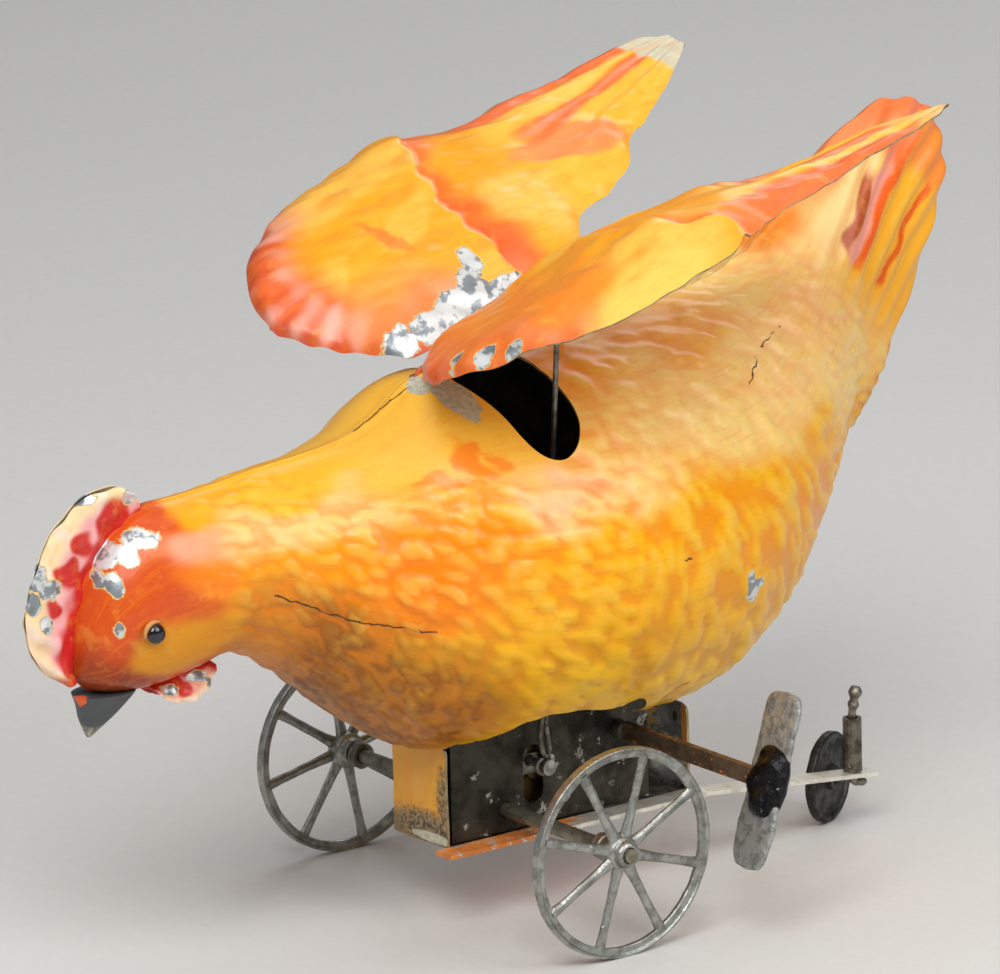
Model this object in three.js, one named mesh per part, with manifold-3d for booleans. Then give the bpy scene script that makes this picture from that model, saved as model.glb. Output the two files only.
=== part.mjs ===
// Clockwork tin hen: a pressed two-piece body on a small clockwork carriage with two spoked wheels in front
// and one steered wheel behind. Two wire rods from the clockwork lift the pair of hinged wings.
//
// Units are millimetres, +Z up. The hen faces -Y and its left side is +X. Heights are written above the
// floor that the wheels stand on, and the whole group is lowered at the end so that the origin lies on the
// underside of the carriage, on the hen's mid plane, straight below the front axle.

import * as THREE from "three";
import { mergeVertices } from "three/addons/utils/BufferGeometryUtils.js";
import Module from "manifold-3d";

const wasm = await Module();
wasm.setup();

// ---------------------------------------------------------------- driving dimensions
const GAP = 0.3; // clearance between two touching pieces
const TIN = 0.8; // sheet thickness of the carriage and clockwork plates
const SHELL = 1.0; // thickness of the body shell
const WING_SHEET = 0.7;

const WHEEL_R = 22.5;
const WHEEL_X = 49; // mid plane of each front wheel
const RIM_DEPTH = 2.2;
const RIM_WIDTH = 2.2;
const SPOKES = 8;
const AXLE_R = 1.55;
const HUB_R = 3.9;

const BASE_Z = 16.6; // underside of the carriage
const CARRIAGE_HALF = 9.4;
const CARRIAGE_FRONT = -15.8;
const CARRIAGE_REAR = 48.8;
const FRONT_FLAP_TOP = 39.5;
const REAR_FLAP_TOP = 36;

const PLATE_X = 8.2; // inner face of each clockwork side plate
const PLATE_BOX = { front: -14.1, rear: 38, bottom: 17.7, top: 54 };

const GEAR_MODULE = 0.8;
const GREAT_TEETH = 36;
const SECOND_TEETH = 26;
const SECOND_PINION_TEETH = 10;
const AXLE_PINION_TEETH = 11;
const RATCHET_TEETH = 12;
const AXLE = { y: 0, z: WHEEL_R };
const WINDING = { y: 30, z: 34.5 };
const PILLARS = [[-9.5, 21.5], [-9.5, 44], [15.5, 47.5], [36, 51]];
const PILLAR_R = 1.5;

const LIFT = { y: 7.4, z: 31.5, up: 1.2, down: 6.5 }; // the rod pin and its travel from rest
const CRANK_THROW = 3.9;
const LIFT_PIN_R = 1.0;
const ROD_R = 0.6;
const ROD_X = 12.7;

const HINGE = { y: -14, z: 118.1, slope: THREE.MathUtils.degToRad(17.3), length: 40 };
const HINGE_WIRE_R = 0.7;
const WING_RAISE = THREE.MathUtils.degToRad(17.5);
const WING_CROWN = 6.5; // how far the pressed wing stands above the plane of its edge
const LUG = { s: 21.1, t: 22.6, n: -3 }; // the rod's pin under each wing, in the wing's own directions

const SLOT = { y: 2.5, halfWidth: 7.6, halfLength: 30, frontBow: 4.2 };

const KEY = { x: 60, length: 38, width: 11.3, thickness: 2, lean: THREE.MathUtils.degToRad(18) };

const STRIP = {
  x: CARRIAGE_HALF + GAP + 2.6, halfWidth: 2.6, thickness: 0.9, front: -19, bend: 50, rear: 96.3,
};
const STEER = { y: 91.2, angle: THREE.MathUtils.degToRad(26), tubeTop: 25.2, tubeBottom: 13.3 };
const REAR_WHEEL = { r: 10, trail: 3.6, offset: 9, halfWidth: 1.1 };

// ---------------------------------------------------------------- small helpers
const sides = [["left", 1], ["right", -1]];

function solid(geometry) {
  const bare = geometry.index ? geometry.toNonIndexed() : geometry.clone();
  bare.deleteAttribute("normal");
  bare.deleteAttribute("uv");
  const merged = mergeVertices(bare, 1e-5);
  return new wasm.Manifold(new wasm.Mesh({
    numProp: 3,
    vertProperties: new Float32Array(merged.attributes.position.array),
    triVerts: new Uint32Array(merged.index.array),
  }));
}

function geometryOf(manifold) {
  const mesh = manifold.getMesh();
  const geometry = new THREE.BufferGeometry();
  geometry.setAttribute("position", new THREE.BufferAttribute(mesh.vertProperties, 3));
  geometry.setIndex(new THREE.BufferAttribute(mesh.triVerts, 1));
  return geometry;
}

const join = (first, ...rest) => geometryOf(rest.reduce((sum, g) => sum.add(solid(g)), solid(first)));
const cut = (first, ...rest) => geometryOf(rest.reduce((left, g) => left.subtract(solid(g)), solid(first)));

function box(x0, x1, y0, y1, z0, z1) {
  const geometry = new THREE.BoxGeometry(x1 - x0, y1 - y0, z1 - z0);
  return geometry.translate((x0 + x1) / 2, (y0 + y1) / 2, (z0 + z1) / 2);
}

// A shape drawn in (y, z) and extruded along X from x0 to x1.
function plateYZ(shape, x0, x1, curveSegments = 6) {
  const geometry = new THREE.ExtrudeGeometry(shape, { depth: x1 - x0, bevelEnabled: false, curveSegments });
  const axes = new THREE.Matrix4().makeBasis(
    new THREE.Vector3(0, 1, 0), new THREE.Vector3(0, 0, 1), new THREE.Vector3(1, 0, 0));
  return geometry.applyMatrix4(axes).translate(x0, 0, 0);
}

const polygon = (points) => new THREE.Shape(points.map(([a, b]) => new THREE.Vector2(a, b)));

// A solid turned about an axis along X through (y, z); the profile lists [radius, x] pairs.
function turnedX(profile, y, z, segments = 20) {
  const lathe = new THREE.LatheGeometry(profile.map(([r, x]) => new THREE.Vector2(r, x)), segments);
  return lathe.rotateZ(-Math.PI / 2).translate(0, y, z);
}

const discX = (r, x0, x1, y, z, segments = 20) =>
  turnedX([[0, x0], [r, x0], [r, x1], [0, x1]], y, z, segments);

const ringX = (inner, outer, x0, x1, y, z, segments = 20) =>
  turnedX([[inner, x0], [outer, x0], [outer, x1], [inner, x1], [inner, x0]], y, z, segments);

// A round bar between two points.
function bar(from, to, radius, segments = 10) {
  const a = new THREE.Vector3(...from);
  const b = new THREE.Vector3(...to);
  const along = b.clone().sub(a);
  const geometry = new THREE.CylinderGeometry(radius, radius, along.length(), segments);
  const turn = new THREE.Quaternion().setFromUnitVectors(new THREE.Vector3(0, 1, 0), along.normalize());
  return geometry.applyQuaternion(turn).translate((a.x + b.x) / 2, (a.y + b.y) / 2, (a.z + b.z) / 2);
}

// A closed wire ring whose axis runs along `axis`.
function wireRing(centre, axis, innerRadius) {
  const geometry = new THREE.TorusGeometry(innerRadius + ROD_R, ROD_R, 6, 14);
  const turn = new THREE.Quaternion().setFromUnitVectors(new THREE.Vector3(0, 0, 1), axis);
  return geometry.applyQuaternion(turn).translate(...centre);
}

// A round wire through several points with rounded bends, closed at both ends.
function wire(points, radius, bendRadius) {
  const path = new THREE.CurvePath();
  const p = points.map((q) => new THREE.Vector3(...q));
  let start = p[0];
  for (let i = 1; i < p.length - 1; i += 1) {
    const into = p[i].clone().add(p[i - 1].clone().sub(p[i]).setLength(bendRadius));
    const out = p[i].clone().add(p[i + 1].clone().sub(p[i]).setLength(bendRadius));
    path.add(new THREE.LineCurve3(start, into));
    path.add(new THREE.QuadraticBezierCurve3(into, p[i], out));
    start = out;
  }
  path.add(new THREE.LineCurve3(start, p[p.length - 1]));
  const section = new THREE.Shape().absarc(0, 0, radius, 0, 2 * Math.PI);
  const steps = Math.ceil(path.getLength() / (4 * radius));
  return new THREE.ExtrudeGeometry(section, { steps, extrudePath: path, curveSegments: 3 });
}

// A closed sheet between two grids of points that face each other.
function sheetBetween(outer, inner) {
  const rows = outer.length;
  const columns = outer[0].length;
  const positions = [...outer, ...inner].flat().flatMap((p) => [p.x, p.y, p.z]);
  const at = (layer, i, j) => layer * rows * columns + i * columns + j;
  const index = [];
  const quad = (a, b, c, d) => index.push(a, c, b, a, d, c);
  for (let i = 0; i < rows - 1; i += 1) {
    for (let j = 0; j < columns - 1; j += 1) {
      quad(at(0, i, j), at(0, i + 1, j), at(0, i + 1, j + 1), at(0, i, j + 1));
      quad(at(1, i, j), at(1, i, j + 1), at(1, i + 1, j + 1), at(1, i + 1, j));
    }
  }
  for (let i = 0; i < rows - 1; i += 1) {
    quad(at(0, i, 0), at(1, i, 0), at(1, i + 1, 0), at(0, i + 1, 0));
    quad(at(0, i + 1, columns - 1), at(1, i + 1, columns - 1), at(1, i, columns - 1), at(0, i, columns - 1));
  }
  for (let j = 0; j < columns - 1; j += 1) {
    quad(at(0, 0, j + 1), at(1, 0, j + 1), at(1, 0, j), at(0, 0, j));
    quad(at(0, rows - 1, j), at(1, rows - 1, j), at(1, rows - 1, j + 1), at(0, rows - 1, j + 1));
  }
  const geometry = new THREE.BufferGeometry();
  geometry.setAttribute("position", new THREE.Float32BufferAttribute(positions, 3));
  geometry.setIndex(index);
  return geometry;
}

// Mirrors a geometry in the hen's mid plane and keeps its faces pointing out.
function mirrored(geometry) {
  const copy = (geometry.index ? geometry.toNonIndexed() : geometry.clone()).scale(-1, 1, 1);
  const position = copy.attributes.position;
  for (let i = 0; i < position.count; i += 3) {
    const x = position.getX(i);
    const y = position.getY(i);
    const z = position.getZ(i);
    position.setXYZ(i, position.getX(i + 1), position.getY(i + 1), position.getZ(i + 1));
    position.setXYZ(i + 1, x, y, z);
  }
  return copy;
}

const onSide = (geometry, side) => (side > 0 ? geometry : mirrored(geometry));

// ---------------------------------------------------------------- materials
const material = (color, roughness, metalness) => () =>
  new THREE.MeshStandardMaterial({ color, roughness, metalness });
const yellowPaint = material(0xe5a030, 0.4, 0.1);
const redPaint = material(0xc23b36, 0.4, 0.1);
const beakPaint = material(0x4b4d55, 0.45, 0.2);
const blackGlass = material(0x101010, 0.1, 0);
const castMetal = material(0x8d8f92, 0.45, 0.85);
const darkTin = material(0x55524d, 0.55, 0.8);
const steelWire = material(0x6b6257, 0.5, 0.85);
const brass = material(0xb08d4a, 0.35, 0.9);
const blueSteel = material(0x2b2e38, 0.35, 0.9);

const hen = new THREE.Group();

function add(name, geometry, makeMaterial) {
  const mesh = new THREE.Mesh(geometry, makeMaterial());
  mesh.name = name;
  hen.add(mesh);
  return mesh;
}

// ---------------------------------------------------------------- body
// The body is lofted through oval sections. Each station gives the top and the bottom of its section on the
// mid plane as [y, z], and the half width. They run from the forehead to the end of the tail.
const STATIONS = [
  { top: [-102.2, 72], bottom: [-101.6, 68.5], half: 3 },
  { top: [-99.8, 85], bottom: [-96.5, 65.8], half: 8 },
  { top: [-94, 95.5], bottom: [-90, 64.8], half: 10.8 },
  { top: [-84, 101.8], bottom: [-82, 64.8], half: 12.8 },
  { top: [-73.9, 102.8], bottom: [-73, 66.5], half: 13.6 },
  { top: [-62, 104.2], bottom: [-64, 68.3], half: 14.5 },
  { top: [-50, 105.2], bottom: [-55, 63.5], half: 18 },
  { top: [-38, 106.6], bottom: [-46.5, 56.6], half: 23 },
  { top: [-26, 110], bottom: [-36, 48.2], half: 28.5 },
  { top: [-15, 116.9], bottom: [-24, 40.2], half: 33.5 },
  { top: [0, 118.3], bottom: [-8, 36], half: 37.5 },
  { top: [18, 119.3], bottom: [10, 35], half: 39.5 },
  { top: [38, 121], bottom: [29, 35.2], half: 38.5 },
  { top: [56, 123.8], bottom: [47, 36.5], half: 34.5 },
  { top: [70, 128], bottom: [62, 41.5], half: 28.5 },
  { top: [81, 134.5], bottom: [74, 48.8], half: 22.5 },
  { top: [90, 142], bottom: [83, 58.5], half: 17 },
  { top: [97, 148.8], bottom: [90.2, 71], half: 13.2 },
  { top: [103.4, 153.6], bottom: [96.6, 82], half: 9.8 },
  { top: [110, 156.3], bottom: [106, 91.5], half: 7 },
  { top: [117, 156.2], bottom: [112.4, 103], half: 4.8 },
  { top: [123.9, 153.4], bottom: [118.6, 115], half: 3.8 },
  { top: [127.1, 147.8], bottom: [123.6, 126], half: 3 },
  { top: [127.9, 141.5], bottom: [127, 137], half: 2 },
];
const BODY_ROWS = 30;
const BODY_COLUMNS = 10;
const SEAM_GAP = 0.15;

const curveThrough = (points) => new THREE.CatmullRomCurve3(points, false, "catmullrom", 0.5);
const topLine = curveThrough(STATIONS.map(({ top }) => new THREE.Vector3(0, ...top)));
const bottomLine = curveThrough(STATIONS.map(({ bottom }) => new THREE.Vector3(0, ...bottom)));
const halfLine = curveThrough(STATIONS.map(({ half }, i) => new THREE.Vector3(half, i, 0)));

// A point of the left body surface: u runs from the forehead (0) to the tail (1), and the angle from the top
// seam (0) to the bottom seam (pi). `inset` moves it inwards.
function bodyPoint(u, angle, inset = 0) {
  const top = topLine.getPoint(u);
  const bottom = bottomLine.getPoint(u);
  const middle = top.clone().add(bottom).multiplyScalar(0.5);
  const upward = top.clone().sub(bottom).multiplyScalar(0.5);
  const shrink = 1 - inset / upward.length();
  const half = Math.max(halfLine.getPoint(u).x - inset, 0.4);
  const point = middle.addScaledVector(upward, Math.cos(angle) * shrink);
  point.x = SEAM_GAP + half * Math.sin(angle);
  return point;
}

function bodyGrid(inset) {
  return Array.from({ length: BODY_ROWS + 1 }, (_, i) =>
    Array.from({ length: BODY_COLUMNS + 1 }, (__, j) =>
      bodyPoint(i / BODY_ROWS, (Math.PI * j) / BODY_COLUMNS, inset)));
}

// The kidney-shaped slot across the back that the wing rods pass through. Its front edge bows forwards.
function backSlotCutter() {
  const { y, halfWidth, halfLength, frontBow } = SLOT;
  const reach = halfLength - halfWidth;
  const front = y - halfWidth;
  const pull = (4 / 3) * frontBow;
  const shape = new THREE.Shape();
  shape.moveTo(-reach, front);
  shape.bezierCurveTo(-reach / 2, front - pull, reach / 2, front - pull, reach, front);
  shape.absarc(reach, y, halfWidth, -Math.PI / 2, Math.PI / 2);
  shape.lineTo(-reach, y + halfWidth);
  shape.absarc(-reach, y, halfWidth, Math.PI / 2, (3 * Math.PI) / 2);
  const cutter = new THREE.ExtrudeGeometry(shape, { depth: 60, bevelEnabled: false, curveSegments: 6 });
  return cutter.translate(0, 0, 80);
}

// The wavy opening in the belly that the clockwork stands in, seen from the side.
function bellyCutter() {
  const edge = new THREE.Shape();
  edge.moveTo(-17, 10);
  edge.lineTo(-17, 41);
  edge.lineTo(-12, 42);
  edge.bezierCurveTo(-9.5, 43, -9, 47.4, 0, 47.6);
  edge.bezierCurveTo(8, 47.8, 15, 45, 20, 46);
  edge.bezierCurveTo(25, 47, 28.5, 43.5, 26.8, 40);
  edge.lineTo(50.5, 40);
  edge.lineTo(50.5, 10);
  return plateYZ(edge, -60, 60, 5);
}

function bodyHalf(side) {
  const shell = onSide(sheetBetween(bodyGrid(0), bodyGrid(SHELL)), side);
  const holeAt = (y, z) => bar([0, y, z - 20], [0, y, z + 20], HINGE_WIRE_R + GAP, 12);
  const rearLeg = hingePoint(HINGE.length);
  const legHoles = [holeAt(HINGE.y, HINGE.z), holeAt(rearLeg[1], rearLeg[2])];
  return cut(shell, backSlotCutter(), bellyCutter(), ...legHoles);
}

// ---------------------------------------------------------------- head
const COMB_EDGE = [
  [-86.1, 106], [-91, 107.6], [-98.3, 106.6], [-103.6, 102.4], [-107, 98.4], [-110.2, 92.8],
  [-112.2, 87.5], [-112.8, 81.7], [-111.9, 76.6], [-107.8, 72.4], [-104.6, 71.4],
];

function comb() {
  const forehead = [];
  for (let i = 0; i <= 6; i += 1) {
    const { y, z } = topLine.getPoint((i / 6) * (3 / (STATIONS.length - 1)));
    const out = new THREE.Vector2(y + 82, z - 78).setLength(0.9);
    forehead.push([y + out.x, z + out.y]);
  }
  const shape = polygon(forehead);
  shape.splineThru([...COMB_EDGE, forehead[0]].map((p) => new THREE.Vector2(...p)));
  return plateYZ(shape, -0.7, 0.7, 2);
}

function wattle(side) {
  const shape = polygon([[-83.5, 63.6], [-68, 66.4]]);
  const lowEdge = [[-68.8, 62.6], [-72.6, 60], [-79, 60.2], [-83.5, 63.6]];
  shape.splineThru(lowEdge.map((p) => new THREE.Vector2(...p)));
  const blade = plateYZ(shape, 1.6, 2.8, 3);
  return onSide(blade, side);
}

// The beak is a downward cone under the front of the head, oval at its root.
function beak() {
  const levels = [
    { y: -94.4, z: 64.4, deep: 7.2, wide: 5.6 },
    { y: -95.6, z: 61.6, deep: 5.6, wide: 4.4 },
    { y: -97.2, z: 58.8, deep: 3.3, wide: 2.6 },
    { y: -98.6, z: 56.6, deep: 0.8, wide: 0.7 },
  ];
  const around = 12;
  const ringOf = ({ y, z, deep, wide }) => Array.from({ length: around }, (_, i) => {
    const angle = (2 * Math.PI * i) / around;
    return [wide * Math.cos(angle), y + deep * Math.sin(angle), z];
  });
  const rings = levels.map(ringOf);
  const root = [0, levels[0].y, levels[0].z];
  const tip = [0, levels[3].y, levels[3].z];
  const positions = [...rings.flat(), root, tip].flat();
  const index = [];
  for (let k = 0; k < levels.length - 1; k += 1) {
    for (let i = 0; i < around; i += 1) {
      const a = k * around + i;
      const b = k * around + ((i + 1) % around);
      index.push(a, a + around, b, b, a + around, b + around);
    }
  }
  const rootIndex = levels.length * around;
  for (let i = 0; i < around; i += 1) {
    const next = (i + 1) % around;
    index.push(rootIndex, i, next);
    index.push(rootIndex + 1, rootIndex - around + next, rootIndex - around + i);
  }
  const geometry = new THREE.BufferGeometry();
  geometry.setAttribute("position", new THREE.Float32BufferAttribute(positions, 3));
  geometry.setIndex(index);
  return geometry;
}

const EYE = { u: 0.1, angle: THREE.MathUtils.degToRad(98), r: 2.1 };

// A glass bead that stands a gap's width off the side of the head.
function eye(side) {
  const at = bodyPoint(EYE.u, EYE.angle);
  const bead = new THREE.SphereGeometry(EYE.r, 14, 10);
  return onSide(bead.scale(0.6, 1, 1).translate(at.x + 0.6 * EYE.r + GAP, at.y, at.z), side);
}

// ---------------------------------------------------------------- wings
function hingePoint(t) {
  return [0, HINGE.y + t * Math.cos(HINGE.slope), HINGE.z + t * Math.sin(HINGE.slope)];
}

// Turns wing directions (s outwards, t back along the hinge, n up from the wing) into a place, left wing.
const wingFrame = new THREE.Matrix4();
{
  const normalUp = new THREE.Vector3(0, -Math.sin(HINGE.slope), Math.cos(HINGE.slope));
  const outward = new THREE.Vector3(Math.cos(WING_RAISE), 0, 0);
  outward.addScaledVector(normalUp, Math.sin(WING_RAISE));
  const back = new THREE.Vector3(0, Math.cos(HINGE.slope), Math.sin(HINGE.slope));
  const up = new THREE.Vector3().crossVectors(outward, back);
  wingFrame.makeBasis(outward, back, up).setPosition(0, HINGE.y, HINGE.z);
}

const WING_INNER = [
  [29, -12.7], [19.3, -9.3], [12, -4.4], [5, -0.4], [2.4, 4], [2.4, 18], [2.4, 32], [3.6, 44.5], [9, 53],
  [15.6, 60], [17.4, 69], [21, 78], [27.5, 84], [31, 92], [35.5, 101], [41, 109.5], [45.2, 114.9],
];
const WING_OUTER = [
  [31.5, -12.7], [42, -9.6], [52.7, -1.4], [57, 6], [60, 13], [62.4, 21], [63.8, 33], [65.2, 43], [62.6, 50],
  [59.4, 56.5], [57.4, 64.3], [57, 73], [54.6, 83], [53.2, 92], [53, 101], [51.6, 109.5], [47.4, 114.9],
];
const WING_ROWS = 22;
const WING_COLUMNS = 5;

// Height of the pressed wing above its edge: `across` runs from the inner edge to the outer, `along` from the
// front lobe to the tip, both 0 to 1.
function crown(across, along) {
  return WING_CROWN * (1 - (2 * across - 1) ** 4) * Math.sin(Math.PI * along ** 0.65);
}

function wingGrid(offset) {
  const inner = curveThrough(WING_INNER.map(([s, t]) => new THREE.Vector3(s, t, 0)));
  const outer = curveThrough(WING_OUTER.map(([s, t]) => new THREE.Vector3(s, t, 0)));
  return Array.from({ length: WING_ROWS + 1 }, (_, i) => {
    const a = inner.getPoint(i / WING_ROWS);
    const b = outer.getPoint(i / WING_ROWS);
    return Array.from({ length: WING_COLUMNS + 1 }, (__, j) => {
      const p = a.clone().lerp(b, j / WING_COLUMNS);
      p.z = crown(j / WING_COLUMNS, i / WING_ROWS) + offset;
      return p;
    });
  });
}

const KNUCKLES = { left: [[8, 13], [26, 31]], right: [[14, 19], [32, 37]] };

// Wing sheet with its rolled knuckles round the hinge wire.
function wing(name, side) {
  const sheet = sheetBetween(wingGrid(WING_SHEET / 2), wingGrid(-WING_SHEET / 2));
  const knuckles = KNUCKLES[name].flatMap(([from, to]) => {
    const roll = new THREE.Shape().absarc(0, 0, 1.9, 0, 2 * Math.PI);
    roll.holes.push(new THREE.Path().absarc(0, 0, HINGE_WIRE_R + GAP, 0, 2 * Math.PI));
    const tube = new THREE.ExtrudeGeometry(roll, { depth: to - from, bevelEnabled: false, curveSegments: 6 });
    tube.rotateX(-Math.PI / 2).translate(0, from, 0);
    const tab = box(1.3, 4, from, to, -0.1, 0.7);
    return [tube, tab];
  });
  return onSide(join(sheet, ...knuckles).applyMatrix4(wingFrame), side);
}

// A bent strip under the wing whose two ears hold the short pin that the rod's top eye hangs on.
function wingLug(side) {
  const top = WING_CROWN - WING_SHEET / 2 - GAP - 1.1;
  const ear = (t) => box(LUG.s - 2.4, LUG.s + 2.4, t - 0.35, t + 0.35, LUG.n - 1.6, top);
  const bridge = box(LUG.s - 2.4, LUG.s + 2.4, LUG.t - 4.35, LUG.t + 4.35, top - 0.7, top);
  const pin = bar([LUG.s, LUG.t - 4.2, LUG.n], [LUG.s, LUG.t + 4.2, LUG.n], HINGE_WIRE_R);
  return onSide(join(bridge, ear(LUG.t - 4), ear(LUG.t + 4), pin).applyMatrix4(wingFrame), side);
}

// The staple of wire that both wings hinge on: its legs go down through the back seam.
function hingeWire() {
  const front = hingePoint(0);
  const rear = hingePoint(HINGE.length);
  return wire([[0, front[1], 108], front, rear, [0, rear[1], 110]], HINGE_WIRE_R, 1.6);
}

// ---------------------------------------------------------------- carriage
function carriageFrame() {
  const w = CARRIAGE_HALF;
  const base = box(-w, w, CARRIAGE_FRONT, CARRIAGE_REAR, BASE_Z, BASE_Z + TIN);
  const front = box(-w, w, CARRIAGE_FRONT, CARRIAGE_FRONT + TIN, BASE_Z, FRONT_FLAP_TOP);
  const rear = box(-w, w, CARRIAGE_REAR - TIN, CARRIAGE_REAR, BASE_Z, REAR_FLAP_TOP);
  return join(base, front, rear);
}

function sidePlate(side) {
  const { front, rear, bottom, top } = PLATE_BOX;
  const shape = polygon([[front, bottom], [rear, bottom], [rear, top], [26, top], [12, top], [front, 47]]);
  const round = (y, z, r) => new THREE.Path().absarc(y, z, r, 0, 2 * Math.PI, true);
  const halfSlot = LIFT_PIN_R + 1.6;
  const slot = new THREE.Path();
  slot.absarc(LIFT.y, LIFT.z + LIFT.up, halfSlot, 0, Math.PI);
  slot.absarc(LIFT.y, LIFT.z - LIFT.down, halfSlot, Math.PI, 2 * Math.PI);
  shape.holes.push(round(AXLE.y, AXLE.z, AXLE_R + GAP));
  shape.holes.push(round(SECOND.y, SECOND.z, ARBOR_R + GAP));
  shape.holes.push(round(WINDING.y, WINDING.z, WINDING_R + GAP));
  shape.holes.push(slot);
  return onSide(plateYZ(shape, PLATE_X, PLATE_X + TIN, 5), side);
}

function steeringStrip() {
  const { x, halfWidth, thickness, front, bend, rear } = STRIP;
  const topAt = (y) => (y <= bend ? BASE_Z + thickness : BASE_Z + thickness - 0.11 * (y - bend));
  const shape = polygon([
    [front, topAt(front)], [front, topAt(front) - thickness],
    [bend, topAt(bend) - thickness], [rear, topAt(rear) - thickness],
    [rear, topAt(rear)], [bend, topAt(bend)],
  ]);
  const strip = plateYZ(shape, x - halfWidth, x + halfWidth);
  return cut(strip, bar([x, STEER.y, 0], [x, STEER.y, 30], ROD_R + 0.4 + GAP, 12));
}

function steeringTube() {
  const lathe = new THREE.LatheGeometry(
    [[1.3, 0], [2.1, 0], [2.1, STEER.tubeTop - STEER.tubeBottom], [1.3, STEER.tubeTop - STEER.tubeBottom],
      [1.3, 0]].map(([r, h]) => new THREE.Vector2(r, h)), 14);
  return lathe.rotateX(Math.PI / 2).translate(STRIP.x, STEER.y, STEER.tubeBottom);
}

// A point of the rear wheel's axle, `d` from the place below the strip where the wire turns into it.
function rearAxlePoint(d) {
  const y = STEER.y + REAR_WHEEL.trail;
  return [STRIP.x - Math.cos(STEER.angle) * d, y - Math.sin(STEER.angle) * d, REAR_WHEEL.r];
}

// The steering wire: a bent handle, a stem down through the tube, a short crank back under the strip and a
// foot that is the wheel's axle.
function steeringWire() {
  const handle = [STRIP.x - Math.cos(STEER.angle) * 2.2, STEER.y - Math.sin(STEER.angle) * 2.2, 31];
  const bends = [[STRIP.x, STEER.y, 28.2], [STRIP.x, STEER.y, REAR_WHEEL.r + 0.4]];
  const endOfFoot = rearAxlePoint(REAR_WHEEL.offset + 3);
  return wire([handle, ...bends, rearAxlePoint(0), endOfFoot], ROD_R + 0.2, 1.4);
}

function rearWheelParts() {
  const { r, halfWidth } = REAR_WHEEL;
  const profile = [
    [1.1, -1.8], [2.6, -1.8], [2.6, -0.6], [r - 1.5, -0.6], [r - 1.5, -halfWidth], [r, -halfWidth],
    [r, halfWidth], [r - 1.5, halfWidth], [r - 1.5, 0.6], [2.6, 0.6], [2.6, 1.8], [1.1, 1.8], [1.1, -1.8],
  ];
  const wheel = turnedX(profile, 0, 0, 24);
  return wheel.rotateZ(STEER.angle).translate(...rearAxlePoint(REAR_WHEEL.offset));
}

// ---------------------------------------------------------------- clockwork
const pitchRadius = (teeth) => (GEAR_MODULE * teeth) / 2;
const ARBOR_R = 1.0;
const WINDING_R = 1.8;

// The second arbor stands where its pinion meets the great wheel and its wheel meets the axle's pinion.
const SECOND = (() => {
  const toWinding = pitchRadius(GREAT_TEETH) + pitchRadius(SECOND_PINION_TEETH);
  const toAxle = pitchRadius(SECOND_TEETH) + pitchRadius(AXLE_PINION_TEETH);
  const dy = WINDING.y - AXLE.y;
  const dz = WINDING.z - AXLE.z;
  const span = Math.hypot(dy, dz);
  const along = (toAxle ** 2 - toWinding ** 2 + span ** 2) / (2 * span);
  const aside = Math.sqrt(toAxle ** 2 - along ** 2);
  return { y: AXLE.y + (along * dy - aside * dz) / span, z: AXLE.z + (along * dz + aside * dy) / span };
})();
const angleTo = (from, to) => Math.atan2(to.z - from.z, to.y - from.y);

// A spur gear standing across X, with one tooth (or one gap, with halfTurn) on the given heading.
function gear(teeth, centre, x0, x1, heading, halfTurn, boreRadius) {
  const pitch = pitchRadius(teeth);
  const step = (2 * Math.PI) / teeth;
  const first = heading + (halfTurn ? step / 2 : 0);
  const tip = pitch + 0.8 * GEAR_MODULE;
  const root = pitch - 1.1 * GEAR_MODULE;
  const points = [];
  for (let k = 0; k < teeth; k += 1) {
    for (const [share, radius] of [[-0.26, root], [-0.11, tip], [0.11, tip], [0.26, root]]) {
      const angle = first + (k + share) * step;
      points.push([centre.y + radius * Math.cos(angle), centre.z + radius * Math.sin(angle)]);
    }
  }
  const shape = polygon(points);
  shape.holes.push(new THREE.Path().absarc(centre.y, centre.z, boreRadius, 0, 2 * Math.PI, true));
  return plateYZ(shape, x0, x1, 6);
}

function ratchetWheel() {
  const points = [];
  for (let k = 0; k < RATCHET_TEETH; k += 1) {
    const angle = (2 * Math.PI * k) / RATCHET_TEETH;
    points.push([WINDING.y + 6.2 * Math.cos(angle), WINDING.z + 6.2 * Math.sin(angle)]);
    points.push([WINDING.y + 4.9 * Math.cos(angle + 0.06), WINDING.z + 4.9 * Math.sin(angle + 0.06)]);
  }
  const shape = polygon(points);
  shape.holes.push(new THREE.Path().absarc(WINDING.y, WINDING.z, WINDING_R + GAP, 0, 2 * Math.PI, true));
  return plateYZ(shape, 0.9, 2.0, 6);
}

const PAWL_PIVOT = { y: WINDING.y + 6.2, z: WINDING.z + 7.6 };

// The click that holds the ratchet wheel, on a stud of the great wheel.
function pawl() {
  const { y, z } = PAWL_PIVOT;
  const shape = polygon([[y + 1.7, z - 0.6], [y + 1.2, z + 1.5], [y - 1.4, z + 1.6], [y - 6, z + 0.6],
    [y - 6.8, z - 0.7], [y - 4.6, z - 0.4], [y - 1.2, z - 1.7]]);
  shape.holes.push(new THREE.Path().absarc(y, z, 0.9, 0, 2 * Math.PI, true));
  return plateYZ(shape, 0.9, 2.0, 4);
}

function greatWheel() {
  const wheel = gear(GREAT_TEETH, WINDING, 2.4, 3.6, angleTo(WINDING, SECOND), false, WINDING_R + GAP);
  return join(wheel, discX(0.6, 0.9, 2.6, PAWL_PIVOT.y, PAWL_PIVOT.z, 10));
}

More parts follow.
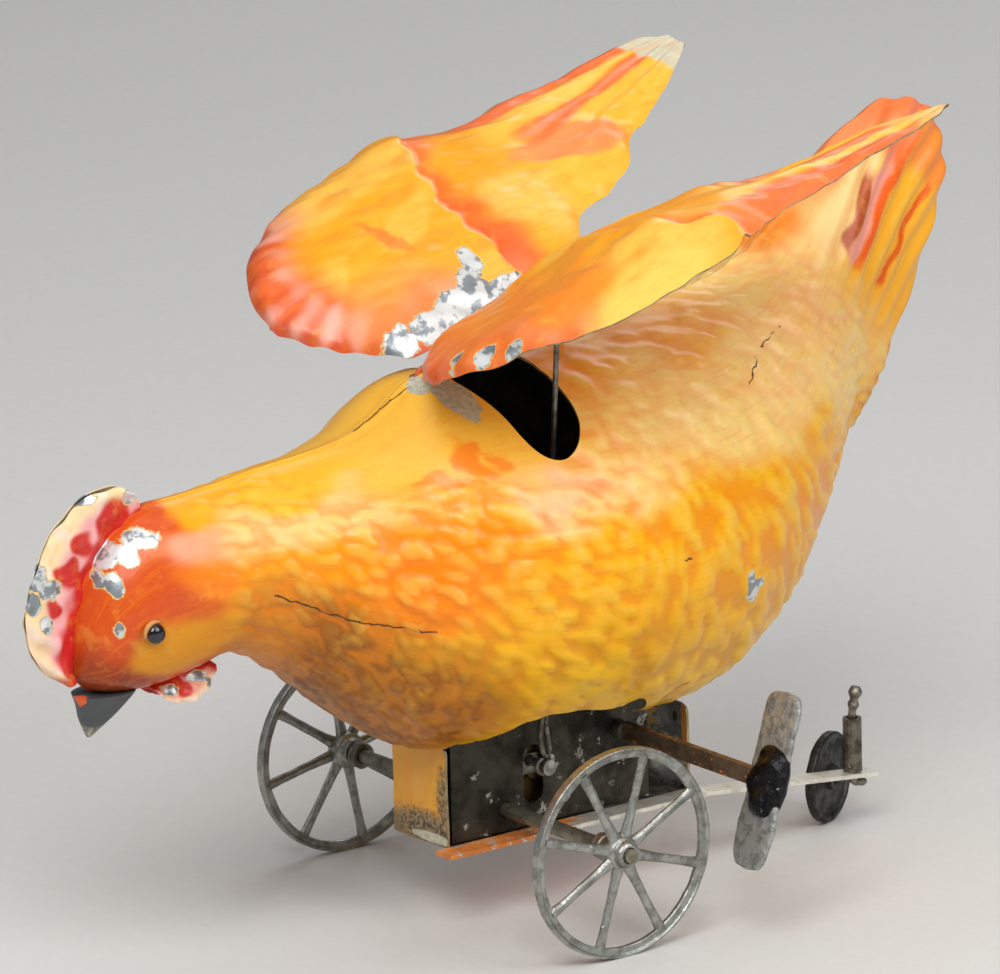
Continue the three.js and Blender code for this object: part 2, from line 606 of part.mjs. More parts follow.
// A thin bent strip that presses the click down, riveted to the great wheel beside it.
function clickSpring() {
  const y = WINDING.y - 3;
  const z = WINDING.z + 10.5;
  const foot = box(0.9, 2.0, y - 6.4, y - 3.4, z - 2.6, z - 0.6);
  const blade = box(0.9, 2.0, y - 4, y + 9, z - 0.95, z - 0.6);
  return join(foot, blade);
}

// A flat spiral of spring strip round the winding arbor.
function mainspring() {
  const turns = 4;
  const perTurn = 20;
  const start = 3.6;
  const end = 12.6;
  const strip = 0.6;
  const pointAt = (k, out) => {
    const share = k / (turns * perTurn);
    const angle = 2 * Math.PI * turns * share + 1.25;
    const radius = start + (end - start) * share + out;
    return [WINDING.y + radius * Math.cos(angle), WINDING.z + radius * Math.sin(angle)];
  };
  const steps = Array.from({ length: turns * perTurn + 1 }, (_, k) => k);
  const outside = steps.map((k) => pointAt(k, strip));
  const inside = steps.reverse().map((k) => pointAt(k, 0));
  const shape = polygon([...outside, ...inside]);
  return plateYZ(shape, -7.4, 0.4);
}

function crankDisc() {
  const rest = Math.asin((LIFT.down - LIFT.up) / 2 / CRANK_THROW);
  const disc = ringX(ARBOR_R + GAP, CRANK_THROW + 1.4, 5.7, 6.4, SECOND.y, SECOND.z, 24);
  const y = SECOND.y + CRANK_THROW * Math.cos(rest);
  const z = SECOND.z + CRANK_THROW * Math.sin(rest);
  return join(disc, discX(0.8, 6.2, 6.65, y, z, 10));
}

// The stirrup that carries the rod pins: a yoke plate beside the crank disc, a plain leg on the other side
// and a bridge over the wheels. The yoke has a level slot for the crank pin and an upright one for the arbor.
const YOKE = { x0: 6.95, x1: 7.7 };

function lifterStirrup() {
  const { x0, x1 } = YOKE;
  const middle = SECOND.z + (LIFT.down - LIFT.up) / 2;
  const front = LIFT.y - 2.4;
  const rear = LIFT.y + 2.4;
  const top = 56.4;
  const yoke = box(x0, x1, front, SECOND.y + 6.6, 28.6, 41);
  const leftLeg = box(x0, x1, front, rear, 28.6, top);
  const rightLeg = box(-x1, -x0, front, rear, 28.6, top);
  const bridge = box(-x1, x1, front, rear, top - TIN, top);
  const level = box(x0 - 1, x1 + 1, SECOND.y - 5, SECOND.y + 5, middle - 1.05, middle + 1.05);
  const upright = box(x0 - 1, x1 + 1, SECOND.y - ARBOR_R - GAP, SECOND.y + ARBOR_R + GAP,
    SECOND.z - LIFT.up - ARBOR_R - GAP, SECOND.z + LIFT.down + ARBOR_R + GAP);
  const pinHole = discX(LIFT_PIN_R + GAP, -x1 - 1, x1 + 1, LIFT.y, LIFT.z, 16);
  return cut(join(bridge, leftLeg, yoke, rightLeg), level, upright, pinHole);
}

// A short pin that reaches out through the side plate's slot, with a head that keeps the rod's eye on.
function lifterPin(side) {
  const end = ROD_X + 2.3;
  const headR = LIFT_PIN_R + 0.7;
  const headFoot = end - 0.7;
  const profile = [[0, YOKE.x0], [LIFT_PIN_R, YOKE.x0], [LIFT_PIN_R, headFoot], [headR, headFoot],
    [headR, end], [0, end]];
  return onSide(turnedX(profile, LIFT.y, LIFT.z, 16), side);
}

function pushrod(side) {
  const bottom = new THREE.Vector3(ROD_X, LIFT.y, LIFT.z);
  const pin = new THREE.Vector3(LUG.s, LUG.t, LUG.n).applyMatrix4(wingFrame);
  const back = new THREE.Vector3(0, Math.cos(HINGE.slope), Math.sin(HINGE.slope));
  const top = pin.addScaledVector(back, (LIFT.y - pin.y) / back.y);
  const lowEye = wireRing(bottom.toArray(), new THREE.Vector3(1, 0, 0), LIFT_PIN_R + 0.4);
  const topEye = wireRing(top.toArray(), new THREE.Vector3(0, 1, 0), HINGE_WIRE_R + 0.9);
  const foot = [bottom.x, bottom.y, bottom.z + LIFT_PIN_R + 0.8];
  const shaft = bar(foot, [top.x, top.y, top.z - HINGE_WIRE_R - 1.3], ROD_R, 8);
  return onSide(join(shaft, lowEye, topEye), side);
}

// ---------------------------------------------------------------- winding key
function windingArbor() {
  return discX(WINDING_R, -PLATE_X - TIN - 0.4, 11.5, WINDING.y, WINDING.z, 16);
}

// The flat shank between the arbor and the key, grown by `margin` where a neighbour is cut back for it.
function keyShank(margin = 0) {
  const thin = 0.75 + margin;
  const tall = 1.9 + margin;
  const end = KEY.x - 3 - GAP + margin;
  return box(11.8, end, WINDING.y - thin, WINDING.y + thin, WINDING.z - tall, WINDING.z + tall);
}

function keyCollar() {
  const profile = [[0, -3], [2.2, -3], [3.4, -1.6], [3.6, 0.4], [2.8, 2.2], [1.4, 3], [0, 3]];
  return turnedX(profile.map(([r, x]) => [r, x + KEY.x]), WINDING.y, WINDING.z, 14);
}

function keyBlade() {
  const { length, width, thickness, lean } = KEY;
  const shape = new THREE.Shape();
  const w = width / 2;
  const l = length / 2;
  const corner = 2.2;
  const corners = [[w, l], [-w, l], [-w, -l], [w, -l]];
  shape.moveTo(w, l - corner);
  for (let i = 0; i < 4; i += 1) {
    const [x, y] = corners[i];
    const [nextX, nextY] = corners[(i + 1) % 4];
    const towards = new THREE.Vector2(nextX - x, nextY - y).setLength(corner);
    shape.quadraticCurveTo(x, y, x + towards.x, y + towards.y);
    shape.lineTo(nextX - towards.x, nextY - towards.y);
  }
  const blade = new THREE.ExtrudeGeometry(shape, { depth: thickness, bevelEnabled: false, curveSegments: 3 });
  blade.translate(0, 0, -thickness / 2).rotateX(Math.PI / 2 - lean);
  blade.translate(KEY.x, WINDING.y, WINDING.z);
  const collarRoom = discX(3.9, KEY.x - 3 - GAP, KEY.x + 3 + GAP, WINDING.y, WINDING.z, 14);
  return cut(blade, collarRoom, keyShank(GAP));
}

// ---------------------------------------------------------------- front wheels and axle
const SPOKE_START = { left: 27.4, right: 11.2 }; // degrees, as the wheels happen to stand

function spokedWheel(name, side) {
  const inner = WHEEL_R - RIM_DEPTH;
  const half = RIM_WIDTH / 2;
  const turned = (profile, segments) =>
    turnedX(profile.map(([r, x]) => [r, x + WHEEL_X]), AXLE.y, AXLE.z, segments);
  const rim = turned([[inner, -half + 0.5], [WHEEL_R, -half], [WHEEL_R, half], [inner, half - 0.5],
    [inner, -half + 0.5]], 36);
  const bore = AXLE_R + GAP;
  const hub = turned([[bore, -4.2], [2.9, -4.2], [2.9, -2.4], [HUB_R, -1.8], [HUB_R, 1.2], [2.6, 2.6],
    [bore, 2.6], [bore, -4.2]], 16);
  const spokes = Array.from({ length: SPOKES }, (_, k) => {
    const angle = THREE.MathUtils.degToRad(SPOKE_START[name]) + (2 * Math.PI * k) / SPOKES;
    const at = (r) => [WHEEL_X, AXLE.y + r * Math.cos(angle), AXLE.z + r * Math.sin(angle)];
    return bar(at(HUB_R - 0.8), at(inner + 0.6), 1.1, 7);
  });
  return onSide(join(rim, hub, ...spokes), side);
}

function frontAxle() {
  const end = WHEEL_X + 3.6;
  return turnedX([[0, -end], [AXLE_R, -end], [AXLE_R, end], [0, end]], AXLE.y, AXLE.z, 16);
}

const axleCollar = (side) => onSide(
  ringX(AXLE_R + GAP, 2.9, WHEEL_X - 7.2, WHEEL_X - 4.5, AXLE.y, AXLE.z, 16), side);

// ---------------------------------------------------------------- assembly
for (const [name, side] of sides) {
  add(`body_half_${name}`, bodyHalf(side), yellowPaint);
  add(`wattle_${name}`, wattle(side), redPaint);
  add(`eye_${name}`, eye(side), blackGlass);
  add(`wing_${name}`, wing(name, side), yellowPaint);
  add(`wing_lug_${name}`, wingLug(side), darkTin);
  add(`clockwork_plate_${name}`, sidePlate(side), darkTin);
  add(`lifter_pin_${name}`, lifterPin(side), steelWire);
  add(`pushrod_${name}`, pushrod(side), steelWire);
  add(`front_wheel_${name}`, spokedWheel(name, side), castMetal);
  add(`axle_collar_${name}`, axleCollar(side), castMetal);
}
add("comb", comb(), redPaint);
add("beak", beak(), beakPaint);
add("wing_hinge_wire", hingeWire(), steelWire);

add("carriage_frame", carriageFrame(), yellowPaint);
add("steering_strip", steeringStrip(), yellowPaint);
add("steering_tube", steeringTube(), darkTin);
add("steering_wire", steeringWire(), steelWire);
add("rear_wheel", rearWheelParts(), darkTin);

PILLARS.forEach(([y, z], i) => {
  const reach = PLATE_X - GAP;
  add(`clockwork_pillar_${i + 1}`, discX(PILLAR_R, -reach, reach, y, z, 14), brass);
});
const towardsSecond = angleTo(AXLE, SECOND);
add("front_axle", frontAxle(), castMetal);
add("axle_pinion", gear(AXLE_PINION_TEETH, AXLE, 3.9, 5.5, towardsSecond, false, AXLE_R + GAP), brass);
const arborEnd = PLATE_X + TIN + 0.4;
add("second_arbor", discX(ARBOR_R, -arborEnd, arborEnd, SECOND.y, SECOND.z, 14), steelWire);
add("second_wheel",
  gear(SECOND_TEETH, SECOND, 4.2, 5.2, towardsSecond + Math.PI, true, ARBOR_R + GAP), brass);
add("second_pinion",
  gear(SECOND_PINION_TEETH, SECOND, 1.9, 3.9, angleTo(SECOND, WINDING), true, ARBOR_R + GAP), brass);
add("crank_disc", crankDisc(), brass);
add("great_wheel", greatWheel(), brass);
add("click_spring", clickSpring(), blueSteel);
add("click", pawl(), blueSteel);
add("mainspring", mainspring(), blueSteel);
add("winding_arbor", windingArbor(), steelWire);
add("ratchet_wheel", ratchetWheel(), brass);
add("lifter_stirrup", lifterStirrup(), darkTin);
add("key_shank", keyShank(), darkTin);
add("key_collar", keyCollar(), blueSteel);
add("key_blade", keyBlade(), darkTin);

hen.position.z = -BASE_Z;

export default hen;
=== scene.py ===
"""Clockwork tin hen: the painted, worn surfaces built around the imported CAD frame.

Places are in millimetres, z up from the floor the wheels stand on. The hen faces -Y and its left side is +X.
`metres` turns them into the frame's metres, whose origin lies on the underside of the carriage.
"""

import math

import bpy
import numpy as np
from mathutils import Matrix, Vector


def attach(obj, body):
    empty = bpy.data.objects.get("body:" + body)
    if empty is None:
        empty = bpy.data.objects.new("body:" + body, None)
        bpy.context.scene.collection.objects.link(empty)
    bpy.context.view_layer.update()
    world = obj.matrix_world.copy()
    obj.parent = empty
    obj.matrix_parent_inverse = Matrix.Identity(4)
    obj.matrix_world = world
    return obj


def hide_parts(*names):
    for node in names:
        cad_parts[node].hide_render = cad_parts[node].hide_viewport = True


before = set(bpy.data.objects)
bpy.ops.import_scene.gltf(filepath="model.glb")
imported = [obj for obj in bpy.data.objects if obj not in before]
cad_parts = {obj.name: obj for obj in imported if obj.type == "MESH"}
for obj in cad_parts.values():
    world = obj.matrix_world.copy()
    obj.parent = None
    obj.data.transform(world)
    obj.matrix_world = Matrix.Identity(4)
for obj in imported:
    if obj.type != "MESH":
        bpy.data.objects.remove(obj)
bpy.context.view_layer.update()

BASE_Z = 16.6  # underside of the carriage, where the frame's origin is
MM = 0.001
SIDES = (("left", 1), ("right", -1))


def metres(points):
    return (np.asarray(points, float) - (0, 0, BASE_Z)) * MM


# ---------------------------------------------------------------- number helpers
def smooth(low, high, value):
    """0 below low, 1 above high (or the other way round), with soft ends."""
    x = np.clip((np.asarray(value, float) - low) / (high - low), 0, 1)
    return x * x * (3 - 2 * x)


def catmull(values, u):
    """Uniform Catmull-Rom curve through the rows of `values`, u from 0 to 1."""
    values = np.asarray(values, float)
    x = np.clip(u, 0, 1) * (len(values) - 1)
    i = np.minimum(x.astype(int), len(values) - 2)
    f = (x - i)[..., None]
    ends = np.vstack([2 * values[0] - values[1], values, 2 * values[-1] - values[-2]])
    p0, p1, p2, p3 = ends[i], ends[i + 1], ends[i + 2], ends[i + 3]
    return 0.5 * (2 * p1 + (p2 - p0) * f + (2 * p0 - 5 * p1 + 4 * p2 - p3) * f ** 2
                  + (3 * p1 - p0 - 3 * p2 + p3) * f ** 3)


def wobble(points, size, seed):
    """Smooth pseudo-random value between about -1 and 1 that changes over `size` millimetres."""
    points = np.asarray(points, float)
    rng = np.random.default_rng(seed)
    total = np.zeros(points.shape[:-1])
    waves = 7
    for _ in range(waves):
        direction = rng.normal(size=points.shape[-1])
        direction *= 2 * math.pi / (size * rng.uniform(0.8, 2.0) * np.linalg.norm(direction))
        total += np.sin(points @ direction + rng.uniform(0, 2 * math.pi))
    return total / math.sqrt(waves) * 0.8


def unit(vectors):
    """The vectors at length 1."""
    return vectors / np.maximum(np.linalg.norm(vectors, axis=-1, keepdims=True), 1e-12)


def circle(count):
    """Angles all the way round, without the last one, which would repeat the first."""
    return np.linspace(0, 2 * math.pi, count, endpoint=False)


def unit_grid(rows, columns):
    """Two grids of numbers from 0 to 1, one that grows along the rows and one along the columns."""
    return np.meshgrid(np.linspace(0, 1, rows), np.linspace(0, 1, columns), indexing="ij")


def ellipse(a, b, radii, outside, inside):
    """1 inside an ellipse round zero, 0 outside; its edge is soft between two shares of the radii."""
    return smooth(outside, inside, np.hypot(a / radii[0], b / radii[1]))


def linear(red, green, blue):
    """An sRGB colour, 0 to 255, as linear RGBA."""
    c = np.array([red, green, blue]) / 255
    c = np.where(c <= 0.04045, c / 12.92, ((c + 0.055) / 1.055) ** 2.4)
    return (*[float(v) for v in c], 1.0)


class Paint:
    """Point colours built up in layers, one over the other, each as strong as its mask."""

    def __init__(self, shape, ground):
        self.colour = np.ones((*shape, 4)) * linear(*ground)

    def lay(self, target, mask):
        self.blend(np.array(linear(*target)), mask)

    def blend(self, target, mask):
        self.colour = self.colour + (target - self.colour) * np.clip(mask, 0, 1)[..., None]


# ---------------------------------------------------------------- mesh helpers
def grid_triangles(rows, columns, closed=False):
    i, j = np.meshgrid(np.arange(rows - 1), np.arange(columns if closed else columns - 1), indexing="ij")
    a = i * columns + j
    b = i * columns + (j + 1) % columns
    c = a + columns
    d = b + columns
    return np.concatenate([np.stack([a, b, d], -1).reshape(-1, 3), np.stack([a, d, c], -1).reshape(-1, 3)])


def vertex_normals(points, triangles):
    a, b, c = (points[triangles[:, k]] for k in range(3))
    face = np.cross(b - a, c - a)
    normals = np.zeros_like(points)
    for k in range(3):
        np.add.at(normals, triangles[:, k], face)
    return unit(normals)


def merge(*parts):
    """Joins (points, triangles) pairs."""
    starts = np.cumsum([0] + [len(points) for points, _ in parts[:-1]])
    return (np.concatenate([points for points, _ in parts]),
            np.concatenate([triangles + start for (_, triangles), start in zip(parts, starts)]))


def on_side(part, side):
    """A part made for the left side, or its mirror image in the hen's mid plane."""
    points, triangles = part
    return (points, triangles) if side > 0 else (points * (-1, 1, 1), triangles[:, ::-1])


def shifted(part, offset):
    return part[0] + offset, part[1]


def roughened(part, size, depth, seed):
    points, faces = part
    return points + vertex_normals(points, faces) * (depth * wobble(points, size, seed))[:, None], faces


def fan(ring, centre, closing):
    """Triangles from a ring of point numbers to a centre point, at the start or the closing end of a tube."""
    after = np.roll(ring, -1)
    return np.stack([np.full(len(ring), centre), *((ring, after) if closing else (after, ring))], -1)


def lathe(profile, segments=48):
    """Turns a closed [radius, x] profile about the X axis."""
    profile = np.asarray(profile, float)
    turn = circle(segments)
    r, x = profile[:, :1], profile[:, 1:]
    points = np.stack([x + 0 * turn, r * np.cos(turn), r * np.sin(turn)], -1)
    return points.reshape(-1, 3), grid_triangles(len(profile), segments, closed=True)


def tube(path, radius, segments=12):
    """A round wire along a path, with low domed ends; radius is one number or one for each point."""
    path = np.asarray(path, float)
    radius = np.broadcast_to(np.asarray(radius, float), (len(path),))
    tangent = unit(np.gradient(path, axis=0))
    side = unit(np.cross(tangent[0], (0.3, 0.2, 0.93)))  # any direction that no wire here runs along
    turn = circle(segments)
    rings = []
    for point, t, r in zip(path, tangent, radius):
        side = unit(side - t * (side @ t))
        other = np.cross(t, side)
        rings.append(point + r * (np.cos(turn)[:, None] * side + np.sin(turn)[:, None] * other))
    dome = 0.4
    ends = [path[0] - tangent[0] * radius[0] * dome, path[-1] + tangent[-1] * radius[-1] * dome]
    count = len(path) * segments
    triangles = np.concatenate([
        grid_triangles(len(path), segments, closed=True), fan(np.arange(segments), count, False),
        fan(np.arange(count - segments, count), count + 1, True)])
    return np.concatenate([*rings, ends]), triangles


def corner_curve(before, corner, after, radius, most, shares):
    """Points of the curve that rounds a corner and takes up at most the share `most` of either side."""
    into, out = before - corner, after - corner
    length_in, length_out = np.linalg.norm(into), np.linalg.norm(out)
    reach = min(radius, length_in * most, length_out * most)
    a = corner + into / length_in * reach
    b = corner + out / length_out * reach
    return [(1 - f) ** 2 * a + 2 * f * (1 - f) * corner + f * f * b for f in shares]


def bent(corners, radius, spacing=0.5):
    """Points along a polyline with rounded corners."""
    corners = np.asarray(corners, float)
    points = [corners[0]]
    for three in zip(corners, corners[1:], corners[2:]):
        points += corner_curve(*three, radius, 0.49, np.linspace(0, 1, 9))
    points.append(corners[-1])
    result = [points[0]]
    for a, b in zip(points, points[1:]):
        steps = max(1, round(np.linalg.norm(b - a) / spacing))
        result.extend(a + (b - a) * k / steps for k in range(1, steps + 1))
    return np.array(result)


def rounded(profile, radius=0.22):
    """Rounds the corners of a closed profile."""
    profile = np.asarray(profile, float)
    result = []
    for three in zip(np.roll(profile, 1, axis=0), profile, np.roll(profile, -1, axis=0)):
        result += corner_curve(*three, radius, 0.45, (0, 0.33, 0.67, 1))
    return np.array([*result, result[0]])


def sheet(outer, triangles, thickness):
    """Gives a surface a thickness inwards. Returns points, triangles and kinds: 0 outer, 1 inner, 2 rim."""
    inner = outer - vertex_normals(outer, triangles) * thickness
    count = len(outer)
    edges = dict.fromkeys(e for a, b, c in triangles.tolist() for e in ((a, b), (b, c), (c, a)))
    border = np.array([e for e in edges if (e[1], e[0]) not in edges])
    a, b = border[:, 0], border[:, 1]
    rim = np.concatenate([np.stack([a, a + count, b], -1), np.stack([b, a + count, b + count], -1)])
    faces = np.concatenate([triangles, triangles[:, ::-1] + count, rim])
    return np.vstack([outer, inner]), faces, np.repeat([0, 1, 2], [len(triangles), len(triangles), len(rim)])


def piece(name, part, body, materials, nodes=(), kinds=None, layers=None, sharp=48):
    """Makes one visible piece. `layers` holds per-point numbers or colours that its material reads."""
    points, triangles = part
    used, index = np.unique(triangles, return_inverse=True)
    triangles = index.reshape(triangles.shape)
    mesh = bpy.data.meshes.new(name)
    mesh.from_pydata(metres(points[used]).tolist(), [], triangles.tolist())
    for material in materials:
        mesh.materials.append(material)
    if kinds is not None:
        mesh.polygons.foreach_set("material_index", np.asarray(kinds, np.int32))
    for key, values in (layers or {}).items():
        values = np.asarray(values, np.float32)[used]
        if values.ndim == 1:
            mesh.attributes.new(key, "FLOAT", "POINT").data.foreach_set("value", values)
        elif values.shape[1] == 4:
            mesh.attributes.new(key, "FLOAT_COLOR", "POINT").data.foreach_set("color", values.ravel())
        else:
            mesh.attributes.new(key, "FLOAT_VECTOR", "POINT").data.foreach_set("vector", values.ravel())
    mesh.polygons.foreach_set("use_smooth", np.ones(len(triangles), bool))
    mesh.set_sharp_from_angle(angle=math.radians(sharp))
    mesh.update()
    thing = bpy.data.objects.new(name, mesh)
    bpy.context.collection.objects.link(thing)
    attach(thing, body)
    if nodes:
        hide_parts(*nodes)
    return thing


# ---------------------------------------------------------------- shader helpers
class Shader:
    """A material with short names for the nodes it needs. `place` is the point in millimetres above the
    floor."""

    def __init__(self, name):
        self.material = bpy.data.materials.new(name)
        self.material.use_nodes = True
        self.nodes = self.material.node_tree.nodes
        self.links = self.material.node_tree.links
        self.nodes.clear()
        here = self.nodes.new("ShaderNodeTexCoord").outputs["Object"]
        self.place = self.vector("MULTIPLY_ADD", here, (1 / MM,) * 3, (0, 0, BASE_Z))

    def put(self, socket, value):
        if isinstance(value, bpy.types.NodeSocket):
            self.links.new(value, socket)
        else:
            socket.default_value = value

    def vector(self, operation, a, b=None, c=None):
        node = self.nodes.new("ShaderNodeVectorMath")
        node.operation = operation
        for socket, value in zip(node.inputs, (a, b, c)):
            if value is not None:
                self.put(socket, value)
        return node.outputs["Value" if operation in ("LENGTH", "DOT_PRODUCT", "DISTANCE") else "Vector"]

    def math(self, operation, a, b=0.0, c=0.0, clamp=False):
        node = self.nodes.new("ShaderNodeMath")
        node.operation = operation
        node.use_clamp = clamp
        for socket, value in zip(node.inputs, (a, b, c)):
            self.put(socket, value)
        return node.outputs[0]

    def read(self, key, output="Fac"):
        node = self.nodes.new("ShaderNodeAttribute")
        node.attribute_name = key
        return node.outputs[output]

    def noise(self, size, detail=3.0, stretch=(1, 1, 1), seed=0, at=None, rough=0.55):
        """Noise between 0 and 1 whose features are about `size` millimetres, longer along the stretched
        axes."""
        scale = tuple(1 / (size * s) for s in stretch)
        node = self.nodes.new("ShaderNodeTexNoise")
        node.inputs["Scale"].default_value = 1.0
        node.inputs["Detail"].default_value = detail
        node.inputs["Roughness"].default_value = rough
        apart = (seed * 3.7, seed * 1.3, seed * 2.1)
        self.put(node.inputs["Vector"], self.vector("MULTIPLY_ADD", at or self.place, scale, apart))
        return node.outputs["Fac"]

    def between(self, low, high, value):
        """0 at low and 1 at high with soft ends; low may be the larger of the two."""
        node = self.nodes.new("ShaderNodeMapRange")
        node.interpolation_type = "SMOOTHSTEP"
        ends = {"From Min": min(low, high), "From Max": max(low, high), "To Min": float(low > high),
                "To Max": float(low < high)}
        for key, number in ends.items():
            node.inputs[key].default_value = number
        self.put(node.inputs["Value"], value)
        return node.outputs["Result"]

    def mix(self, factor, a, b, blend="MIX"):
        node = self.nodes.new("ShaderNodeMix")
        node.data_type = "RGBA"
        node.blend_type = blend
        self.put(node.inputs[0], factor)
        self.put(node.inputs[6], a)
        self.put(node.inputs[7], b)
        return node.outputs[2]

    def blend(self, factor, a, b):
        node = self.nodes.new("ShaderNodeMix")
        node.data_type = "FLOAT"
        self.put(node.inputs[0], factor)
        self.put(node.inputs[2], a)
        self.put(node.inputs[3], b)
        return node.outputs[0]

    def tint(self, colour, mask, amount, shade, blend="MIX"):
        """Lays a colour or a socket over another, as strong as its mask times `amount`."""
        return self.mix(self.math("MULTIPLY", mask, amount), colour, shade, blend)

    def height_above_floor(self):
        node = self.nodes.new("ShaderNodeSeparateXYZ")
        self.put(node.inputs[0], self.place)
        return node.outputs["Z"]

    def most(self, *masks):
        result = masks[0]
        for mask in masks[1:]:
            result = self.math("MAXIMUM", result, mask)
        return result

    def blob(self, centre, radii, ragged=0.5, size=2.0, soft=0.08, seed=0):
        """1 inside a ragged ellipsoid, 0 outside."""
        away = self.vector("SUBTRACT", self.place, centre)
        distance = self.vector("LENGTH", self.vector("MULTIPLY", away, tuple(1 / r for r in radii)))
        jag = self.math("MULTIPLY_ADD", self.noise(size, 4, seed=seed, rough=0.65), ragged * 2, -ragged)
        return self.between(1 + soft, 1 - soft, self.math("ADD", distance, jag))

    def line(self, corners, width, squash=(0.2, 1, 1), shake=0.9):
        """1 on a thin wandering line through the corners; `squash` shortens distances across the surface."""
        drift = self.nodes.new("ShaderNodeTexNoise")
        drift.inputs["Scale"].default_value = 0.35
        drift.inputs["Detail"].default_value = 4.0
        self.put(drift.inputs["Vector"], self.place)
        sway = self.vector("MULTIPLY_ADD", drift.outputs["Color"], (shake * 2,) * 3, (-shake,) * 3)
        here = self.vector("MULTIPLY", self.vector("ADD", self.place, sway), squash)
        masks = []
        for ends in zip(corners, corners[1:]):
            a, b = (Vector(k * m for k, m in zip(end, squash)) for end in ends)
            span = b - a
            offset = self.vector("SUBTRACT", here, tuple(a))
            share = self.math("MULTIPLY", self.vector("DOT_PRODUCT", offset, tuple(span)),
                              1 / span.length_squared, clamp=True)
            shares = self.nodes.new("ShaderNodeCombineXYZ")
            for socket in shares.inputs:
                self.put(socket, share)
            nearest = self.vector("MULTIPLY", shares.outputs[0], tuple(span))
            distance = self.vector("LENGTH", self.vector("SUBTRACT", offset, nearest))
            masks.append(self.between(width, width * 0.3, distance))
        return self.most(*masks)

    def bump(self, height, distance):
        node = self.nodes.new("ShaderNodeBump")
        node.inputs["Strength"].default_value = 1.0
        node.inputs["Distance"].default_value = distance * MM
        self.put(node.inputs["Height"], height)
        return node.outputs["Normal"]

    def finish(self, **inputs):
        node = self.nodes.new("ShaderNodeBsdfPrincipled")
        for key, value in inputs.items():
            self.put(node.inputs[key.replace("_", " ")], value)
        output = self.nodes.new("ShaderNodeOutputMaterial")
        self.links.new(node.outputs[0], output.inputs[0])
        return self.material


def metal(name, light, dark, roughness, spots=None, size=5.0, grain=0.35, bump=0.04, stretch=(1, 1, 1),
          metallic=0.9):
    """Bare or tarnished metal: two tones in clouds, fine grain, and spots of a third tone, given as the
    tone and how much of the surface they take up."""
    s = Shader(name)
    light = linear(*light)
    clouds = s.between(0.36, 0.66, s.noise(size, 5, seed=1, rough=0.62))
    fine = s.noise(grain, 3, stretch=stretch, seed=2)
    colour = s.mix(clouds, light, linear(*dark))
    colour = s.mix(s.between(0.35, 0.75, fine), colour, s.mix(0.5, colour, light))
    rough = s.math("MULTIPLY_ADD", clouds, 0.16, roughness - 0.06)
    rough = s.math("MULTIPLY_ADD", fine, 0.1, rough)
    shine = metallic
    if spots is not None:
        tone, amount = spots
        mask = s.between(1 - amount, 1 - amount + 0.07, s.noise(size * 0.45, 6, seed=5, rough=0.72))
        colour = s.mix(mask, colour, linear(*tone))
        rough = s.blend(mask, rough, 0.75)
        shine = s.blend(mask, metallic, 0.25)
    relief = s.math("ADD", fine, s.math("MULTIPLY", clouds, 1.6))
    return s.finish(Base_Color=colour, Metallic=shine, Roughness=rough, Normal=s.bump(relief, bump))


